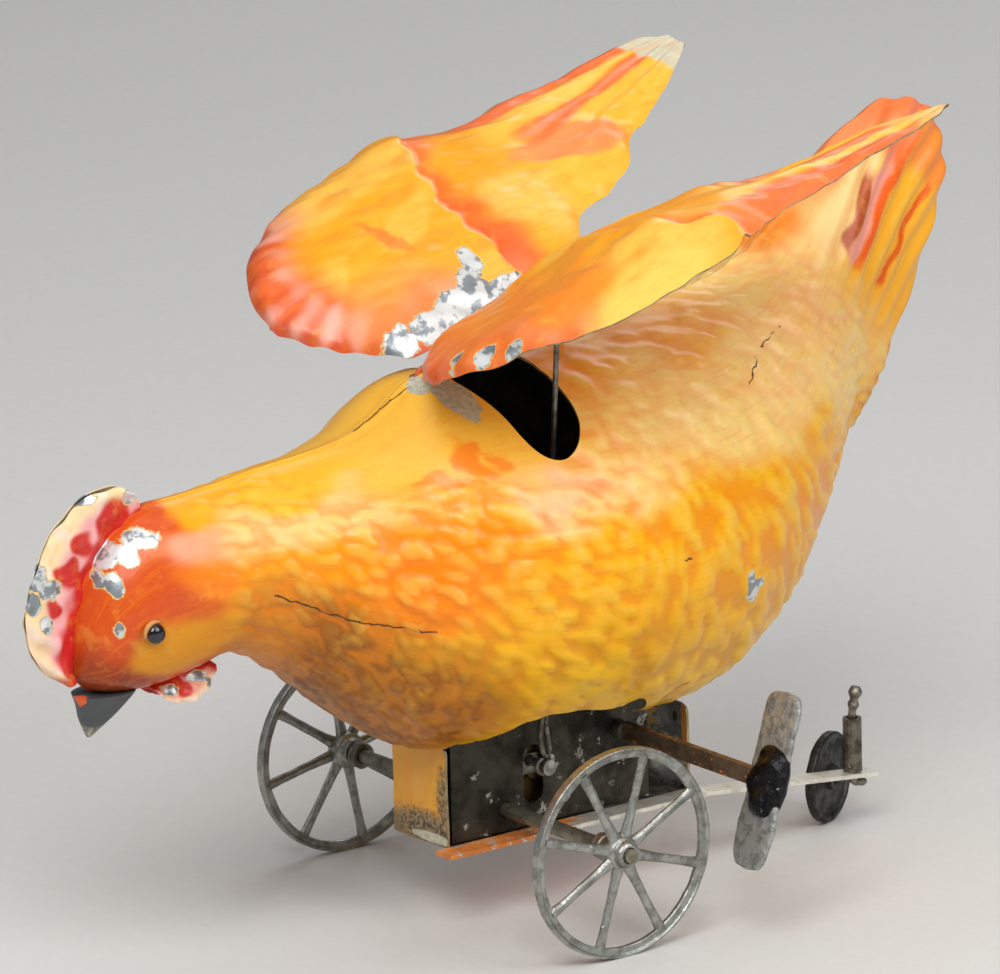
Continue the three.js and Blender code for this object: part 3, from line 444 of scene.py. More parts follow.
def enamel(name, chips=(), cracks=(), grey=(), soot=()):
    """Hand-brushed oil enamel over tinplate. The point colours are in `paint`, and `flow` holds the distance
    along and across the brush marks. Chips, grey and soot are worn places given as (centre, radii)."""
    s = Shader(name)

    def worn(places, ragged, size, soft, seed, grow=0.0):
        return s.most(*[s.blob(centre, tuple(r + grow for r in radii), ragged, size, soft, seed + k)
                        for k, (centre, radii) in enumerate(places)])

    brush = s.read("flow", "Vector")
    hair = s.noise(0.7, 3, stretch=(14, 1, 1), seed=3, at=brush)
    bands = s.noise(3.0, 4, stretch=(3.5, 1, 1), seed=4, at=brush)
    clouds = s.noise(5.0, 5, seed=6, rough=0.62)
    blots = s.noise(2.2, 4, seed=7, rough=0.6)
    specks = s.noise(1.0, 2, seed=9)
    colour = s.read("paint", "Color")
    for low, high, pattern, amount, shade, blend in (
            (0.50, 0.70, bands, 0.22, (252, 142, 14), "MIX"),
            (0.54, 0.72, clouds, 0.22, (252, 200, 84), "MIX"),
            (0.52, 0.66, blots, 0.13, (244, 140, 20), "MIX"),
            (0.48, 0.34, hair, 0.09, (206, 120, 40), "MULTIPLY"),
            (0.765, 0.79, specks, 0.6, (70, 46, 24), "MIX")):
        colour = s.tint(colour, s.between(low, high, pattern), amount, linear(*shade), blend)
    rough = s.math("MULTIPLY_ADD", clouds, 0.16, 0.24)
    shine = 0.0
    height = s.math("MULTIPLY_ADD", hair, 0.22, s.math("MULTIPLY", bands, 0.6))
    height = s.math("MULTIPLY_ADD", blots, 0.9, height)
    if soot:
        smudge = s.between(0.4, 0.6, s.noise(0.8, 4, seed=17))
        grime = s.mix(smudge, linear(50, 44, 34), linear(150, 132, 96))
        colour = s.tint(colour, worn(soot, 0.8, 1.6, 0.4, 40), 0.85, grime)
    if cracks:
        mask = s.most(*[s.line(*crack) for crack in cracks])
        colour = s.tint(colour, mask, 0.92, linear(84, 42, 16))
        height = s.math("MULTIPLY_ADD", mask, -5.0, height)
    if grey:
        mask = worn(grey, 0.45, 3.2, 0.05, 20)
        mottle = s.between(0.35, 0.65, s.noise(1.2, 5, seed=11))
        colour = s.mix(mask, colour, s.mix(mottle, linear(176, 174, 154), linear(206, 200, 176)))
        shine = s.math("MULTIPLY", mask, 0.12)
        rough = s.blend(mask, rough, 0.55)
        height = s.math("MULTIPLY_ADD", mask, -1.5, height)
    if chips:
        mask = worn(chips, 0.55, 2.3, 0.03, 30)
        colour = s.mix(worn(chips, 0.55, 2.3, 0.05, 30, grow=0.25), colour, linear(226, 196, 130))
        clean = s.between(0.57, 0.48, s.noise(3.4, 3, seed=13))
        colour = s.mix(mask, colour, s.mix(clean, linear(146, 152, 156), linear(222, 224, 222)))
        # painted reflection: the chips are only partly metallic, so their pale bare tin also shows as a pale
        # diffuse tone under any lamp
        shine = s.math("MAXIMUM", shine, s.math("MULTIPLY", mask, 0.6))
        rough = s.blend(mask, rough, s.math("MULTIPLY_ADD", clean, 0.14, 0.30))
        height = s.math("MULTIPLY_ADD", mask, -3.0, height)
    return s.finish(Base_Color=colour, Metallic=shine, Roughness=rough, Specular_IOR_Level=0.26,
                    Coat_Weight=0.14, Coat_Roughness=0.08, Normal=s.bump(height, 0.06))


# ---------------------------------------------------------------- plain materials
dark_inside = metal("dark_inside", (78, 74, 64), (44, 42, 36), 0.6, ((110, 92, 60), 0.36), 6.0, metallic=0.6)
tin_edge = metal("tin_edge", (196, 184, 150), (128, 110, 78), 0.4, None, 3.0)
plate_tin = metal("plate_tin", (78, 75, 66), (34, 32, 28), 0.42, ((168, 166, 156), 0.40), 9.0)
cast = metal("cast_white_metal", (176, 178, 172), (122, 123, 116), 0.30, ((104, 101, 92), 0.33), 3.2, 0.5,
             0.07)
axle_metal = metal("axle_metal", (150, 146, 130), (92, 88, 76), 0.45, ((120, 92, 58), 0.36), 3.0,
                   stretch=(6, 1, 1))
old_wire = metal("old_wire", (150, 146, 134), (84, 78, 68), 0.42, ((110, 70, 40), 0.38), 2.5)
bright_wire = metal("bright_wire", (186, 184, 176), (112, 108, 100), 0.32, ((96, 74, 54), 0.34), 2.0)
brass = metal("clock_brass", (132, 108, 64), (78, 60, 34), 0.42, ((50, 42, 28), 0.40), 3.0)
blue_steel = metal("blue_steel", (70, 74, 88), (34, 36, 44), 0.34, ((84, 60, 42), 0.32), 3.0)
key_steel = metal("key_steel", (178, 180, 176), (120, 122, 118), 0.46, ((66, 62, 54), 0.37), 2.2, 0.5, 0.1,
                  metallic=0.75)
tar = metal("black_solder", (40, 40, 42), (20, 20, 22), 0.16, ((150, 152, 154), 0.37), 3.2, 1.2, 0.08,
            metallic=0.8)
rear_metal = metal("rear_wheel_metal", (74, 74, 72), (36, 36, 36), 0.42, ((112, 108, 96), 0.34), 3.0)
lug_tin = metal("lug_tin", (150, 136, 104), (98, 84, 60), 0.45, ((214, 140, 60), 0.40), 3.0)
painted_wire = metal("painted_wire", (222, 104, 56), (150, 72, 44), 0.42, ((176, 170, 150), 0.38), 2.5,
                     metallic=0.3)
shank_metal = metal("shank_metal", (138, 118, 94), (84, 70, 56), 0.45, ((206, 120, 48), 0.42), 3.5)
tube_metal = metal("tube_metal", (124, 118, 104), (66, 62, 54), 0.42, ((176, 174, 162), 0.38), 2.5)


def strip_material():
    """Bright tin whose front part is painted with the carriage."""
    s = Shader("strip_tin")
    clouds = s.between(0.36, 0.66, s.noise(4.0, 5, seed=1, rough=0.62))
    colour = s.mix(clouds, linear(240, 238, 226), linear(202, 196, 178))
    speck = s.between(0.66, 0.72, s.noise(2.0, 6, seed=5, rough=0.72))
    colour = s.mix(speck, colour, linear(190, 128, 66))
    front = s.blob((0, -4, 16), (20, 26, 6), 0.35, 3.0, 0.06, seed=2)
    painted = s.math("MULTIPLY", front, s.between(0.38, 0.44, s.noise(1.8, 5, seed=8, rough=0.7)))
    colour = s.mix(painted, colour, s.mix(clouds, linear(226, 138, 60), linear(196, 108, 44)))
    return s.finish(Base_Color=colour, Metallic=s.math("MULTIPLY_ADD", painted, -0.6, 0.6),
                    Roughness=s.math("MULTIPLY_ADD", clouds, 0.16, 0.32), Normal=s.bump(clouds, 0.05))


def glass_bead():
    s = Shader("black_bead")
    smear = s.noise(1.2, 3, seed=4)
    colour = s.mix(smear, linear(14, 14, 16), linear(30, 28, 28))
    return s.finish(Base_Color=colour, Roughness=s.math("MULTIPLY_ADD", smear, 0.14, 0.06), Coat_Weight=0.6,
                    Coat_Roughness=0.05)


strip_tin = strip_material()
bead_black = glass_bead()

# ---------------------------------------------------------------- body
STATIONS = np.array([  # top y, top z, bottom y, bottom z, half width, from the forehead to the tail's end
    (-102.2, 72, -101.6, 68.5, 3), (-99.8, 85, -96.5, 65.8, 8), (-94, 95.5, -90, 64.8, 10.8),
    (-84, 101.8, -82, 64.8, 12.8), (-73.9, 102.8, -73, 66.5, 13.6), (-62, 104.2, -64, 68.3, 14.5),
    (-50, 105.2, -55, 63.5, 18), (-38, 106.6, -46.5, 56.6, 23), (-26, 110, -36, 48.2, 28.5),
    (-15, 116.9, -24, 40.2, 33.5), (0, 118.3, -8, 36, 37.5), (18, 119.3, 10, 35, 39.5),
    (38, 121, 29, 35.2, 38.5), (56, 123.8, 47, 36.5, 34.5), (70, 128, 62, 41.5, 28.5),
    (81, 134.5, 74, 48.8, 22.5), (90, 142, 83, 58.5, 17), (97, 148.8, 90.2, 71, 13.2),
    (103.4, 153.6, 96.6, 82, 9.8), (110, 156.3, 106, 91.5, 7), (117, 156.2, 112.4, 103, 4.8),
    (123.9, 153.4, 118.6, 115, 3.8), (127.1, 147.8, 123.6, 126, 3), (127.9, 141.5, 127, 137, 2)])
SEAM_GAP = 0.06
BODY_ROWS, BODY_COLUMNS = 300, 126
BODY_SHELL = 0.6
SLOT = {"y": 2.5, "half_width": 7.6, "half_length": 30, "front_bow": 0.55}
HINGE = {"y": -14, "z": 118.1, "slope": math.radians(17.3), "length": 40}
HINGE_WIRE_R = 0.7
HINGE_HOLE_ROOM = 0.35
HINGE_BACK = np.array((0, math.cos(HINGE["slope"]), math.sin(HINGE["slope"])))


def body_surface(u, angle):
    """Point of the smooth left half: u from forehead to tail, angle from the top seam to the bottom seam."""
    row = catmull(STATIONS, u)
    top, bottom, half = row[..., 0:2], row[..., 2:4], np.maximum(row[..., 4], 0.4)
    pinch = np.minimum(np.minimum(u / 0.024, (1 - u) / 0.012), 1)
    close = np.sqrt(np.clip(1 - (1 - pinch) ** 2, 0.0004, 1))
    middle = (top + bottom) / 2 + (top - bottom) / 2 * (close * np.cos(angle))[..., None]
    return np.concatenate([(SEAM_GAP + close * half * np.sin(angle))[..., None], middle], -1)


def body_frame(u, angle):
    """Point, outward normal and the two tangents of the smooth body."""
    step = 1e-3
    ahead, behind = np.clip(u + step, 0, 1), np.clip(u - step, 0, 1)
    lower, higher = np.clip(angle + step, 0, math.pi), np.clip(angle - step, 0, math.pi)
    along = unit(body_surface(ahead, angle) - body_surface(behind, angle))
    around = unit(body_surface(u, lower) - body_surface(u, higher))
    return body_surface(u, angle), unit(np.cross(around, along)), along, around


def stadium(points):
    """Distance outside the slot in the back, seen from above; its front edge bows forwards in the middle."""
    reach = SLOT["half_length"] - SLOT["half_width"]
    sideways = np.abs(points[..., 0])
    y = points[..., 1] - SLOT["y"]
    y = np.where(y < 0, y / (1 + SLOT["front_bow"] * smooth(26, 6, sideways)), y)
    return np.hypot(np.maximum(sideways - reach, 0), y) - SLOT["half_width"]


def belly_outline():
    """The wavy edge of the opening for the clockwork, seen from the side."""
    def bezier(a, b, c, d):
        f = np.linspace(0, 1, 13)[1:, None]
        return (1 - f) ** 3 * a + 3 * f * (1 - f) ** 2 * b + 3 * f * f * (1 - f) * c + f ** 3 * d

    a, b, c, d = (np.array(p, float) for p in ((-12, 42), (0, 47.6), (20, 46), (26.8, 40)))
    return np.concatenate([
        [(-17, 10), (-17, 41), (-12, 42)],
        bezier(a, np.array((-9.5, 43.0)), np.array((-9, 47.4)), b),
        bezier(b, np.array((8, 47.8)), np.array((15, 45.0)), c),
        bezier(c, np.array((25, 47.0)), np.array((28.5, 43.5)), d), [(50.5, 40), (50.5, 10)]])


BELLY = belly_outline()


def belly(points):
    """Signed distance outside the belly opening."""
    p = points[..., 1:3]
    distance = np.full(p.shape[:-1], 1e9)
    inside = np.zeros(p.shape[:-1], bool)
    for a, b in zip(BELLY, np.roll(BELLY, -1, axis=0)):
        span = b - a
        share = np.clip(((p - a) @ span) / (span @ span), 0, 1)
        distance = np.minimum(distance, np.linalg.norm(p - a - share[..., None] * span, axis=-1))
        crosses = (a[1] > p[..., 1]) != (b[1] > p[..., 1])
        with np.errstate(divide="ignore", invalid="ignore"):
            at = a[0] + (p[..., 1] - a[1]) / (b[1] - a[1]) * (b[0] - a[0])
        inside ^= crosses & (p[..., 0] < at)
    return np.where(inside, -distance, distance)


def kept(u, angle):
    """Positive where the shell is, zero on the edges of its openings."""
    p = body_surface(u, angle)
    upper = p[..., 2] > 80
    value = np.where(upper, stadium(p), belly(p))
    for distance in (0, HINGE["length"]):
        y = HINGE["y"] + distance * HINGE_BACK[1]
        hole = np.hypot(p[..., 0], p[..., 1] - y) - HINGE_WIRE_R - HINGE_HOLE_ROOM
        value = np.where(upper, np.minimum(value, hole), value)
    return value


def trim(u, angle, triangles):
    """Slides grid points on to the edge of the openings and drops the triangles inside them."""
    value = kept(u, angle)
    edges = np.concatenate([triangles[:, [0, 1]], triangles[:, [1, 2]], triangles[:, [2, 0]]])
    edges = np.unique(np.sort(edges, axis=1), axis=0)
    edges = edges[value[edges[:, 0]] * value[edges[:, 1]] < 0]
    a, b = edges[:, 0], edges[:, 1]

    def between_ends(values, share):
        return values[a] + (values[b] - values[a]) * share

    halvings = 22
    low, high = np.zeros(len(edges)), np.ones(len(edges))
    for _ in range(halvings):
        f = (low + high) / 2
        same = kept(between_ends(u, f), between_ends(angle, f)) * value[a] > 0
        low, high = np.where(same, f, low), np.where(same, high, f)
    f = (low + high) / 2
    mover = np.where(f < 0.5, a, b)
    on_edge_u, on_edge_angle = between_ends(u, f), between_ends(angle, f)
    new_u, new_angle = u.copy(), angle.copy()
    state = np.sign(value)
    for k in np.argsort(-np.minimum(f, 1 - f)):  # the nearest crossing comes last, so it counts
        new_u[mover[k]] = on_edge_u[k]
        new_angle[mover[k]] = on_edge_angle[k]
        state[mover[k]] = 0
    corner = state[triangles]
    centre = kept(new_u[triangles].mean(1), new_angle[triangles].mean(1))
    keep = (corner >= 0).all(1) & ((corner > 0).any(1) | (centre > 0))
    return new_u, new_angle, triangles[keep]


def tail_axes(p):
    """Distance up along the tail's feathers and across them, from where the side stripes start."""
    y, z = p[..., 1] - 89.4, p[..., 2] - 125.6
    return 0.70 * y + 0.71 * z, 0.71 * y - 0.70 * z


def zones(p, angle):
    """How strongly the pressed scales, ridges and tail grooves show at each point, 0 to 1."""
    y = p[..., 1]
    q = angle / math.pi
    head = smooth(-80, -66, y)
    shoulder = smooth(0.36, 0.26, q - 0.0018 * (y + 10)) * smooth(-62, -40, y) * smooth(10, -8, y)
    crest = smooth(0.10, 0.03, q) * smooth(60, 40, y)
    tail = smooth(-6, 6, tail_axes(p)[0])
    scales = head * smooth(26, 4, y - 12 * (q - 0.5)) * (1 - shoulder) * (1 - crest)
    ridges = smooth(4, 26, y - 12 * (q - 0.5)) * (1 - tail) * (1 - crest)
    return scales, ridges, tail


def feathers(p, along, around, spacing, size, tilt, seed):
    """Overlapping rounded lumps on a jittered brick pattern; returns their height, 0 in the creases. `tilt`
    is how far they lean at each point, from along the body towards round it."""
    rng = np.random.default_rng(seed)
    last_row, last_column = p.shape[0] - 1, p.shape[1] - 1
    steps = np.linalg.norm(np.diff(p[:, BODY_COLUMNS // 2], axis=0), axis=1)
    rows = np.concatenate([[0], steps.cumsum()])
    row_step = rows[-1] / len(rows)
    height = np.zeros(p.shape[:-1])
    for k, distance in enumerate(np.arange(0, rows[-1], spacing[0])):
        i = min(int(np.searchsorted(rows, distance)), last_row)
        girth = np.linalg.norm(np.diff(p[i], axis=0), axis=1).sum()
        count = max(2, int(girth / spacing[1]))
        for n in range(count):
            share = (n + 0.5 * (k % 2) + rng.uniform(-0.42, 0.42)) / count
            ci = int(np.clip(i + rng.uniform(-0.5, 0.5) * spacing[0] / row_step, 0, last_row))
            cj = int(np.clip(share * last_column, 0, last_column))
            grow = rng.uniform(0.8, 1.25)
            long, wide = size[0] * grow, size[1] * rng.uniform(0.75, 1.25)
            lean = tilt[ci, cj] + rng.uniform(-0.4, 0.4)
            reach = max(long, wide) * 1.5
            di = int(reach / row_step) + 1
            dj = int(reach / max(girth / (last_column + 1), 0.05)) + 1
            window = (slice(max(ci - di, 0), ci + di + 1), slice(max(cj - dj, 0), cj + dj + 1))
            offset = p[window] - p[ci, cj]
            x = offset @ along[ci, cj]
            y = offset @ around[ci, cj]
            a = x * math.cos(lean) + y * math.sin(lean)
            b = -x * math.sin(lean) + y * math.cos(lean)
            a = np.where(a > 0, a / (long * 0.7), a / (long * 1.3))
            lump = 1 - a * a - (b / wide) ** 2
            height[window] = np.maximum(height[window], lump * rng.uniform(0.6, 1.1))
    return np.clip(height, 0, 1.1)


def body_relief(u, angle):
    """Height of the pressed pattern over the smooth body, and its 0 to 1 value for shading."""
    p, _, along, around = body_frame(u, angle)
    y, z = p[..., 1], p[..., 2]
    scales, ridges, tail = zones(p, angle)
    scale_tilt = 0.35 - 0.25 * np.cos(angle)
    ridge_tilt = math.pi / 2 - 0.012 * (y - 20) * np.where(y > 20, 1, 0.4)
    small = feathers(p, along, around, (4.6, 3.2), (3.6, 2.0), scale_tilt, 5)
    long = feathers(p, along, around, (3.7, 8.4), (4.9, 2.1), ridge_tilt, 8)
    lumps = feathers(p, along, around, (4.2, 4.0), (2.6, 1.9), np.full(angle.shape, 1.1), 9)
    groove = 0.5 + 0.5 * np.cos(tail_axes(p)[1] * 2 * math.pi / 5.6 + 1.2 * wobble(p, 40, 3))
    upper = smooth(84, 98, z + 0.1 * (y - 60))
    long = long + (lumps - long) * upper
    pressed = 0.72 * (1 - 0.3 * smooth(-40, -56, y)) * scales * (small - 0.45) \
        + (0.80 - 0.16 * upper) * ridges * (long - 0.45) + 0.8 * tail * (groove - 0.5)
    near_edge = smooth(0, 5, np.abs(kept(u, angle)))
    dents = wobble(p, 16, 11) * 0.25 + wobble(p, 6, 12) * 0.16 * (scales + ridges)
    q = angle / math.pi
    lip = 0.35 * smooth(0.028, 0.006, q) + 0.35 * smooth(0.972, 0.994, q)
    height = pressed * (0.35 + 0.65 * near_edge) + dents
    return height * smooth(0, 0.05, u) + lip, scales * small + ridges * long + tail * groove


def body_paint(p, angle, pattern, side):
    """The hand-painted colours of the body, laid one over the other."""
    here = p + (100 * (side < 0), 0, 0)  # the right half gets brush marks of its own
    drift = np.stack([wobble(here, 15, seed) for seed in (21, 22, 23)], -1)
    fine = np.stack([wobble(here, 5, seed) for seed in (24, 25, 26)], -1)
    at = p + drift * 3.0 + fine * 1.1
    y, z = at[..., 1], at[..., 2]
    q = angle / math.pi + 0.02 * drift[..., 0]  # 0 on the top seam, 1 on the bottom seam
    paint = Paint(p.shape[:-1], (247, 180, 8))
    lay = paint.lay
    near = np.stack([np.abs(at[..., 0]), y, z], -1)

    def ball(centre, radii, soft=0.45):
        return smooth(1 + soft, 1 - soft, np.linalg.norm((near - centre) / radii, axis=-1))

    # breast, back and flanks
    # the lower belly a brighter yellow: partly its own paint, partly painted light that lifts the belly where
    # it lies in shade
    lay((253, 200, 44), smooth(66, 48, z) * smooth(-16, 4, y))
    lay((250, 190, 66), smooth(0.40, 0.28, q) * smooth(-50, -34, y) * smooth(6, -8, y))
    lay((244, 180, 72), smooth(0.44, 0.28, q) * smooth(4, 14, y) * smooth(78, 50, y) * 0.9)
    lay((247, 140, 14), ball((27, -33, 84), (30, 22, 15)) * 0.85)
    lay((250, 128, 12), ball((28, -33, 79), (30, 11, 9)) * 0.8)
    lay((249, 204, 124), ball((33, 3, 96.5), (30, 18, 6.5)) * 0.95)
    lay((250, 186, 140), ball((33, -2, 98), (30, 10, 3.4)) * 0.75)
    # painted highlight: a cream patch on the middle of the flank
    lay((246, 198, 104), ball((29, 42, 107), (30, 19, 13)) * 0.75)
    if side > 0:
        lay((250, 132, 34), ball((21, -17.0, 104.2), (30, 4.4, 2.6), 0.14) * 0.9)
        lay((250, 138, 40), ball((23, -9.4, 105.4), (30, 2.3, 1.5), 0.14) * 0.9)
        lay((250, 138, 40), ball((23, -24.4, 100.6), (30, 5.6, 1.0), 0.14) * 0.8)
    lay((252, 212, 122), ball((26, 34, 107), (30, 30, 11)) * 0.85)
    lay((250, 216, 136), smooth(90, 104, z) * smooth(14, 34, y) * 0.85)
    lay((244, 150, 24), ball((10, 42, 120), (20, 20, 5)) * 0.6)
    lay((250, 208, 138), ball((16, 68, 112), (20, 13, 13), 0.4) * 0.85)
    lay((250, 196, 122), ball((13, 76, 121), (14, 8, 8), 0.3) * 0.95)
    lay((246, 186, 128), ball((13, 86, 117), (14, 6, 7), 0.3) * 0.7)
    # painted shade: dark browns under the neck, on the lower breast and along the bottom seam, where the body
    # turns away from the light
    below_head = smooth(-84, -74, y)
    lay((146, 74, 14), smooth(0.54, 0.74, q + 0.0025 * (-y - 20)) * smooth(-6, -24, y) * below_head * 0.92)
    lay((122, 62, 8), smooth(0.46, 0.66, q) * smooth(-84, -76, y) * smooth(-40, -54, y) * 0.9)
    lay((112, 58, 24), smooth(0.80, 0.96, q) * smooth(-4, -30, y) * below_head * 0.8)
    lay((190, 92, 24), smooth(0.88, 0.97, q) * smooth(20, 50, y) * smooth(100, 80, y) * 0.8)
    # neck and head
    lay((248, 150, 28), smooth(-46, -60, y) * 0.6)
    lay((252, 200, 126), ball((14, -55, 95.5), (30, 26, 4.2), 0.6) * 0.85)
    lay((252, 182, 34), ball((6, -58, 103), (12, 16, 4)) * 0.85)
    lay((212, 82, 28), smooth(-73, -79, y + 0.28 * (z - 88)))
    # painted shade: dark red-brown over the lower head
    lay((156, 54, 18), smooth(81, 71, z + 0.1 * y + 8.5) * smooth(-82, -90, y) * 0.9)
    lay((248, 160, 118), ball((12, -79, 96), (9, 8, 3.4), 0.6) * 0.9)
    lay((250, 132, 26), ball((12, -75, 89), (9, 8, 5)) * 0.85)
    lay((226, 150, 22), ball((13, -79, 74.4), (12, 13, 7.6), 0.3) * 0.95)
    lay((132, 52, 24), ball((6, -98, 68.5), (9, 9, 2.8)) * 0.75)
    # the tail: salmon over the top, cream, then stripes that run up towards its end
    up, across = tail_axes(p)
    across = across + 0.9 * wobble(p, 12, 31) + 0.35 * fine[..., 0]
    up = up + 2.0 * wobble(p, 9, 32) + 0.8 * fine[..., 1]

    def stripe(low, high, soft_low, soft_high):
        return smooth(low, low + soft_low, across) * smooth(high, high - soft_high, across)

    lay((250, 178, 44), smooth(-10, 4, up) * smooth(-4, 4, across))
    lay((250, 202, 130), smooth(-6, 2, up) * stripe(-11, -0.5, 2.5, 2.5))
    lay((240, 118, 22), smooth(-12, -2, up) * smooth(-8.5, -12, across) * 0.9)
    lay((248, 136, 80), smooth(0.20, 0.12, q) * smooth(8, 16, up))
    inside = smooth(0.5, 3.0, up - 1.2 * np.abs(across - 1.0))
    lay((178, 82, 40), inside * stripe(-4.0, 0.4, 1.0, 1.0) * smooth(26, 20, up))
    lay((246, 160, 140), inside * stripe(-0.8, 3.6, 1.0, 0.8))
    lay((240, 96, 22), smooth(1, 4, up) * stripe(2.6, 5.8, 0.8, 1.0))
    lay((226, 88, 20), smooth(3, 6, up) * smooth(34, 28, up) * stripe(13.2, 15.6, 0.7, 0.6))
    lay((250, 190, 60), smooth(2, 8, up) * stripe(9.2, 11.6, 0.6, 0.6) * 0.8)
    lay((242, 98, 34), smooth(0.945, 0.965, q) * smooth(60, 80, y) * smooth(90, 100, z))
    lay((244, 120, 60), smooth(26, 34, up) * 0.7)
    lay((206, 128, 30), smooth(0.74, 0.90, q) * smooth(84, 96, y) * 0.7)
    # painted shade and highlight: the creases of the pressed feathers are painted deeper orange as shade, the
    # tops of the feathers paler as highlights
    scales, ridges, _ = zones(p, angle)
    pressed = np.clip(scales + ridges, 0, 1)
    low = smooth(84, 56, p[..., 2])[..., None]
    neck = smooth(-40, -56, y)
    breast = smooth(0.5, 0.66, q) * smooth(-4, -24, y)
    upper_rear = smooth(84, 98, z + 0.1 * (y - 60)) * smooth(8, 24, y)
    crease_shade = np.array(linear(244, 128, 8)) * (1 - low) + np.array(linear(214, 136, 22)) * low
    light = np.array(linear(250, 204, 88)) * (1 - low) + np.array(linear(242, 180, 30)) * low
    paint.blend(crease_shade, smooth(0.50, 0.08, pattern) * pressed * (0.6 - 0.42 * upper_rear - 0.18 * neck))
    paint.blend(light, smooth(0.45, 0.9, pattern) * pressed * (0.42 - 0.14 * neck - 0.2 * breast))
    return paint.colour


def body_half(side_name, side, material):
    u, angle = np.meshgrid(np.linspace(0, 1, BODY_ROWS), np.linspace(0, math.pi, BODY_COLUMNS), indexing="ij")
    height, pattern = body_relief(u, angle)
    new_u, new_angle, triangles = trim(u.ravel(), angle.ravel(), grid_triangles(BODY_ROWS, BODY_COLUMNS))
    smooth_point, normal, _, _ = body_frame(new_u, new_angle)
    point = smooth_point + normal * height.ravel()[:, None]
    point[:, 0] = np.maximum(point[:, 0], SEAM_GAP * 0.8)
    colours = body_paint(smooth_point, new_angle, pattern.ravel(), side)
    steps = np.linalg.norm(np.diff(smooth_point.reshape(BODY_ROWS, BODY_COLUMNS, 3), axis=0), axis=-1)
    reach = np.vstack([np.zeros((1, BODY_COLUMNS)), steps.cumsum(0)]).ravel()
    flow = np.stack([reach, new_angle * 34, np.zeros_like(reach)], -1)
    points, faces, kinds = sheet(point, triangles, BODY_SHELL)
    return piece(f"body_shell_{side_name}", on_side((points, faces), side), "carriage",
                 [material, dark_inside, tin_edge], nodes=[f"body_half_{side_name}"], kinds=kinds,
                 layers={"paint": np.vstack([colours, colours]), "flow": np.vstack([flow, flow])})


TOP_SQUASH = (1, 1, 0.2)
body_enamel = enamel(
    "body_enamel",
    chips=[((33.8, 47.8, 66.8), (4, 1.9, 2.6)), ((33.8, 46.4, 69.4), (4, 1.0, 2.4)),
           ((33.8, 49.6, 68.0), (4, 1.4, 1.0)), ((2.0, -94.4, 94.6), (4.0, 3.0, 3.4)),
           ((6.0, -88.0, 97.4), (5, 3.4, 1.8)), ((6.0, -91.6, 94.6), (4, 1.9, 2.6)),
           ((7.2, -95.4, 89.5), (4, 1.4, 2.6)), ((4.4, -97.6, 91.5), (3, 1.4, 3.0)),
           ((9.2, -96, 80.5), (3, 0.9, 1.5))],
    # the grey patches by the hinge are bare tin; their pale tones are partly painted light, lifting them out
    # of the wing's shadow
    grey=[((11, -12.0, 114.2), (9.5, 3.6, 5)), ((4, -15.4, 116), (4, 2.6, 4))],
    cracks=[([(14.8, -61.4, 82.5), (16.3, -56.2, 79.7), (20.4, -46.8, 75.5), (28.1, -30.9, 71.4)], 0.25,
             (0.2, 1, 1), 1.0),
            ([(0.2, -30, 108.8), (0.5, -23.3, 112), (2.5, -17, 115.5)], 0.3, TOP_SQUASH),
            ([(38.9, 25.8, 78.4), (39.1, 28.0, 78.2)], 0.24),
            ([(18.0, 68.4, 117.9), (20.7, 61.4, 114.6), (25.6, 54.5, 109.0)], 0.2, (1, 1, 0.3), 1.4),
            ([(20.5, 29.5, 41.6), (23.2, 31.2, 44.0), (25.7, 36.6, 47.0)], 0.3, (0.3, 1, 1), 1.2)])
for side_name, side in SIDES:
    body_half(side_name, side, body_enamel)

# ---------------------------------------------------------------- wings
WING_RAISE = math.radians(17.5)
WING_CROWN = 6.5
WING_SHEET = 0.5
WING_ROWS, WING_COLUMNS = 240, 96
WING_INNER = np.array([  # both edges as distances outwards and back along the hinge
    (29, -12.7), (19.3, -9.3), (12, -4.4), (5, -0.4), (2.4, 4), (2.4, 18), (2.4, 32), (3.6, 44.5), (9, 53),
    (15.6, 60), (17.4, 69), (21, 78), (27.5, 84), (31, 92), (35.5, 101), (41, 109.5), (44.6, 114.9)])
WING_OUTER = np.array([
    (31.5, -12.7), (42, -9.6), (52.7, -1.4), (57, 6), (60, 13), (62.4, 21), (63.8, 33), (65.2, 43),
    (62.6, 50), (59.4, 56.5), (57.4, 64.3), (57.2, 73), (55.8, 83), (55.0, 92), (54.6, 101), (53.4, 109.5),
    (50.4, 114.9)])
WING_STEP = ((0, 30, 44, 58.8, 66), (34.5, 35.2, 39.6, 46.5, 48))
KNUCKLES = {"left": ((8, 13), (26, 31)), "right": ((14, 19), (32, 37))}


def wing_place(local, side):
    """Wing directions (outwards, back along the hinge, up from the wing) as places."""
    level_up = np.cross((1, 0, 0), HINGE_BACK)
    outward = np.array((math.cos(WING_RAISE), 0, 0)) + level_up * math.sin(WING_RAISE)
    up = np.cross(outward, HINGE_BACK)
    points = np.asarray(local, float) @ np.array((outward, HINGE_BACK, up)) + (0, HINGE["y"], HINGE["z"])
    return points * (side, 1, 1)


def wing_part(local, faces, side):
    return wing_place(local, side), faces if side > 0 else faces[:, ::-1]


def outline_distance(points, outline):
    """Distance of each point to an open outline, and how far along the outline the nearest place is."""
    lengths = np.concatenate([[0], np.linalg.norm(np.diff(outline, axis=0), axis=1).cumsum()])
    nearest = np.full(len(points), 1e9)
    where = np.zeros(len(points))
    for k, (a, b) in enumerate(zip(outline, outline[1:])):
        span = b - a
        share = np.clip((points - a) @ span / max(span @ span, 1e-9), 0, 1)
        away = np.linalg.norm(points - a - share[:, None] * span, axis=1)
        closer = away < nearest
        nearest[closer] = away[closer]
        where[closer] = (lengths[k] + share * (lengths[k + 1] - lengths[k]))[closer]
    return nearest, where


